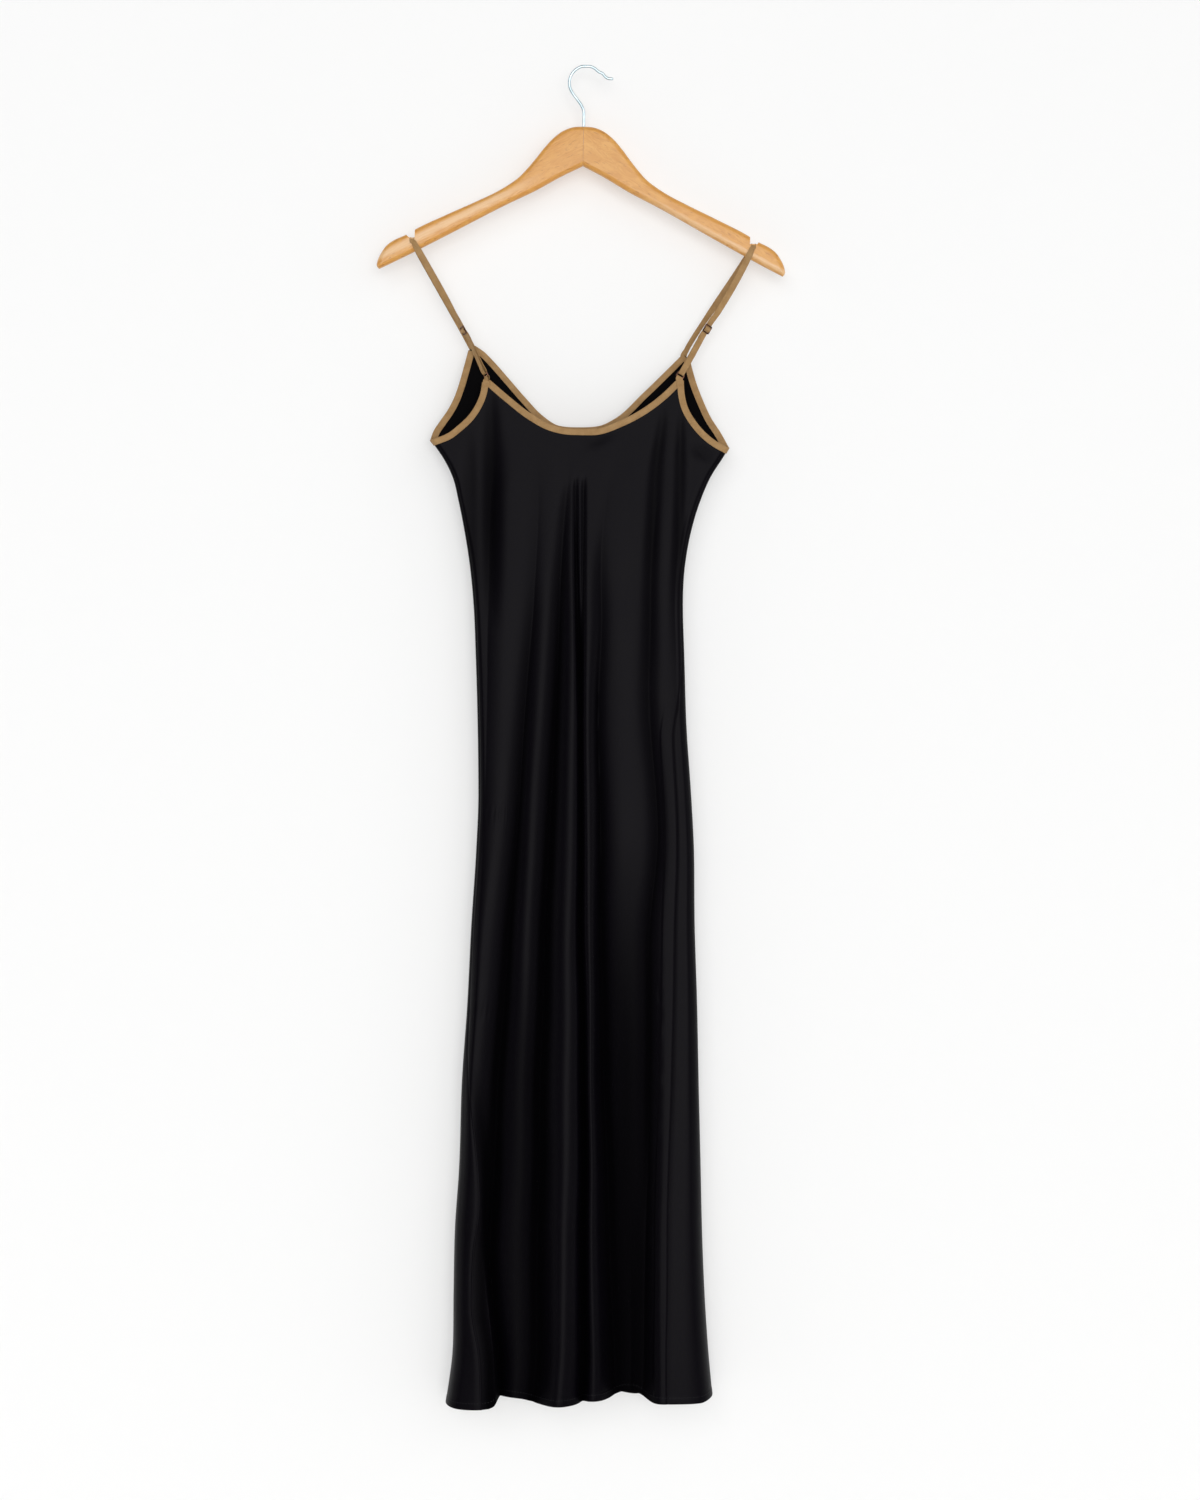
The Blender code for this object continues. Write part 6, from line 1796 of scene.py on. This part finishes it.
def tapePiece(name, route, rings, side):
    # a soft tape: rounded edges that stand a little proud, a hollow middle, and a cup where squeezed
    s = strap
    spacing, seed, cup = rings
    centres, widths, faces = [np.array(column) for column in zip(*route)]
    length = lengthAlong(centres)
    at = np.linspace(0, length[-1], int(length[-1] / spacing) + 1)
    line = smoothAt(at, length, centres)
    run = unit(np.gradient(line, axis=0))
    size = np.interp(at, length, np.linalg.norm(widths, axis=1))
    across = smoothAt(at, length, widths)
    across = unit(across - run * np.sum(across * run, axis=1, keepdims=True))
    out = np.cross(across, run)
    out = unit(out * np.sign(np.sum(out * readAt(at, length, faces), axis=1, keepdims=True)))
    sideways = np.array([*s["across"], *reversed(s["across"])])
    thick = np.array([*s["halfWall"], *(-half for half in reversed(s["halfWall"]))])
    ripple, share = s["thickRipple"]
    thickness = thick * s["wall"] * (1 + puckers(at, seed + side, ripple)[:, None] * share)
    bow = cup * (size.max() - size)[:, None] * (sideways ** 2 - 0.4)
    edge = 1 + s["edgeRipple"] * puckers(at, seed + side + 1, 1.0)
    widthwise = sideways * (size * edge)[:, None] / 2
    points = line[:, None] + across[:, None] * widthwise[..., None]
    return loftPiece(name, points + out[:, None] * (thickness + bow)[..., None], tapeMaterial)


def wireFrame(name, centre, across, up, size, bars=()):
    # a wire ring with rounded corners, and a bar across for a slider
    s = strap
    halfW = size[0] / 2 - s["metalRadius"]
    halfH = size[1] / 2 - s["metalRadius"]
    route = []
    for quarter, (sx, sy) in enumerate(((1, 1), (-1, 1), (-1, -1), (1, -1))):
        for degrees in np.linspace(0, 90, 9):
            a = math.radians(quarter * 90 + degrees)
            x = sx * (halfW - s["metalCorner"]) + s["metalCorner"] * math.cos(a)
            y = sy * (halfH - s["metalCorner"]) + s["metalCorner"] * math.sin(a)
            route.append(centre + across * x + up * y)
    pieces = [tube(name, route, s["metalRadius"], 14, bronzeMaterial, closed=True)]
    for number, offset in enumerate(bars):
        share = np.linspace(-halfW, halfW, 12)[:, None]
        line = centre + up * offset + across * share
        pieces.append(tube(f"{name}Bar{number}", line, s["metalRadius"], 14, bronzeMaterial))
    return pieces


def peakFrame(places, heights, peak):
    # both ends of a peak, and the way out of the cloth there
    places, heights = places[peak], heights[peak]
    return clothPoint(places, heights), unit(clothNormal(places, heights).mean(axis=0))


def makeStraps():
    frontPlaces, frontHeights, frontCorners = frontEdge(strap["cadOver"])
    backPlaces, backHeights, backCorners = backEdge(strap["cadOver"])
    made = {}
    for name, side, frontPeak, backPeak in (
        ("left", -1, [frontCorners[0][1], frontCorners[1][0]], [backCorners[1][1], backCorners[2][0]]),
        ("right", 1, [frontCorners[1][1], frontCorners[2][0]], [backCorners[0][1], backCorners[1][0]]),
    ):
        row = strap[name]
        ring, slider, up, across, face = strapFrame(row)
        corner, out = peakFrame(backPlaces, backHeights, backPeak)
        rise = np.array([side * math.cos(strap["footRise"]), 0, math.sin(strap["footRise"])])
        start = corner.mean(axis=0) + out * strap["footOut"] - rise * strap["footBelow"]
        route = strapRoute(row, start, side, name)
        made[name + "Strap"] = [tapePiece(name + "StrapTape", route, strap["strapRings"], side)]
        w, _ = turned(across, face, row[2])
        made[name + "Ring"] = wireFrame(name + "RingWire", ring, w, up, strap["ringOuter"])
        w, _ = turned(across, face, row[5])
        made[name + "Slider"] = wireFrame(
            name + "SliderWire", slider, w, up, strap["sliderOuter"], bars=(0.0,),
        )
        route = ringTabRoute(row, *peakFrame(frontPlaces, frontHeights, frontPeak))
        made[name + "RingTab"] = [tapePiece(name + "RingTabTape", route, strap["tabRings"], side)]
    return made


hardware = makeStraps()
print("straps made")

# What each piece replaces and rides on, listed with the name of a finish

replaced = [
    ([frontPanel], "front_panel", "black_satin"),
    ([backPanel], "back_panel", "black_satin"),
    ([bindings["frontNeckBinding"]], "front_neck_binding", "bronze_satin"),
    ([bindings["backNeckBinding"]], "back_neck_binding", "bronze_satin"),
    ([bindings["leftArmholeBinding"]], "left_armhole_binding", "bronze_satin"),
    ([bindings["rightArmholeBinding"]], "right_armhole_binding", "bronze_satin"),
    ([armLeft], "hanger_arm_left", "beech"),
    ([armRight], "hanger_arm_right", "beech"),
    ([hookWire], "hook", "steel_wire"),
]
for side in ("left", "right"):
    for kind, node, slotName in (
        ("Strap", "strap", "bronze_satin"),
        ("Ring", "ring", "bronze_metal"),
        ("Slider", "slider", "bronze_metal"),
        ("RingTab", "ring_tab", "bronze_satin"),
    ):
        replaced.append((hardware[side + kind], f"{side}_{node}", slotName))
for things, node, slotName in replaced:
    for thing in things:
        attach(thing, "root")
        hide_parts(node)
for thing, slotName in ((bindingStitches, "bronze_satin"), (hemStitching, "black_satin")):
    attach(thing, "root")

print("pieces placed")
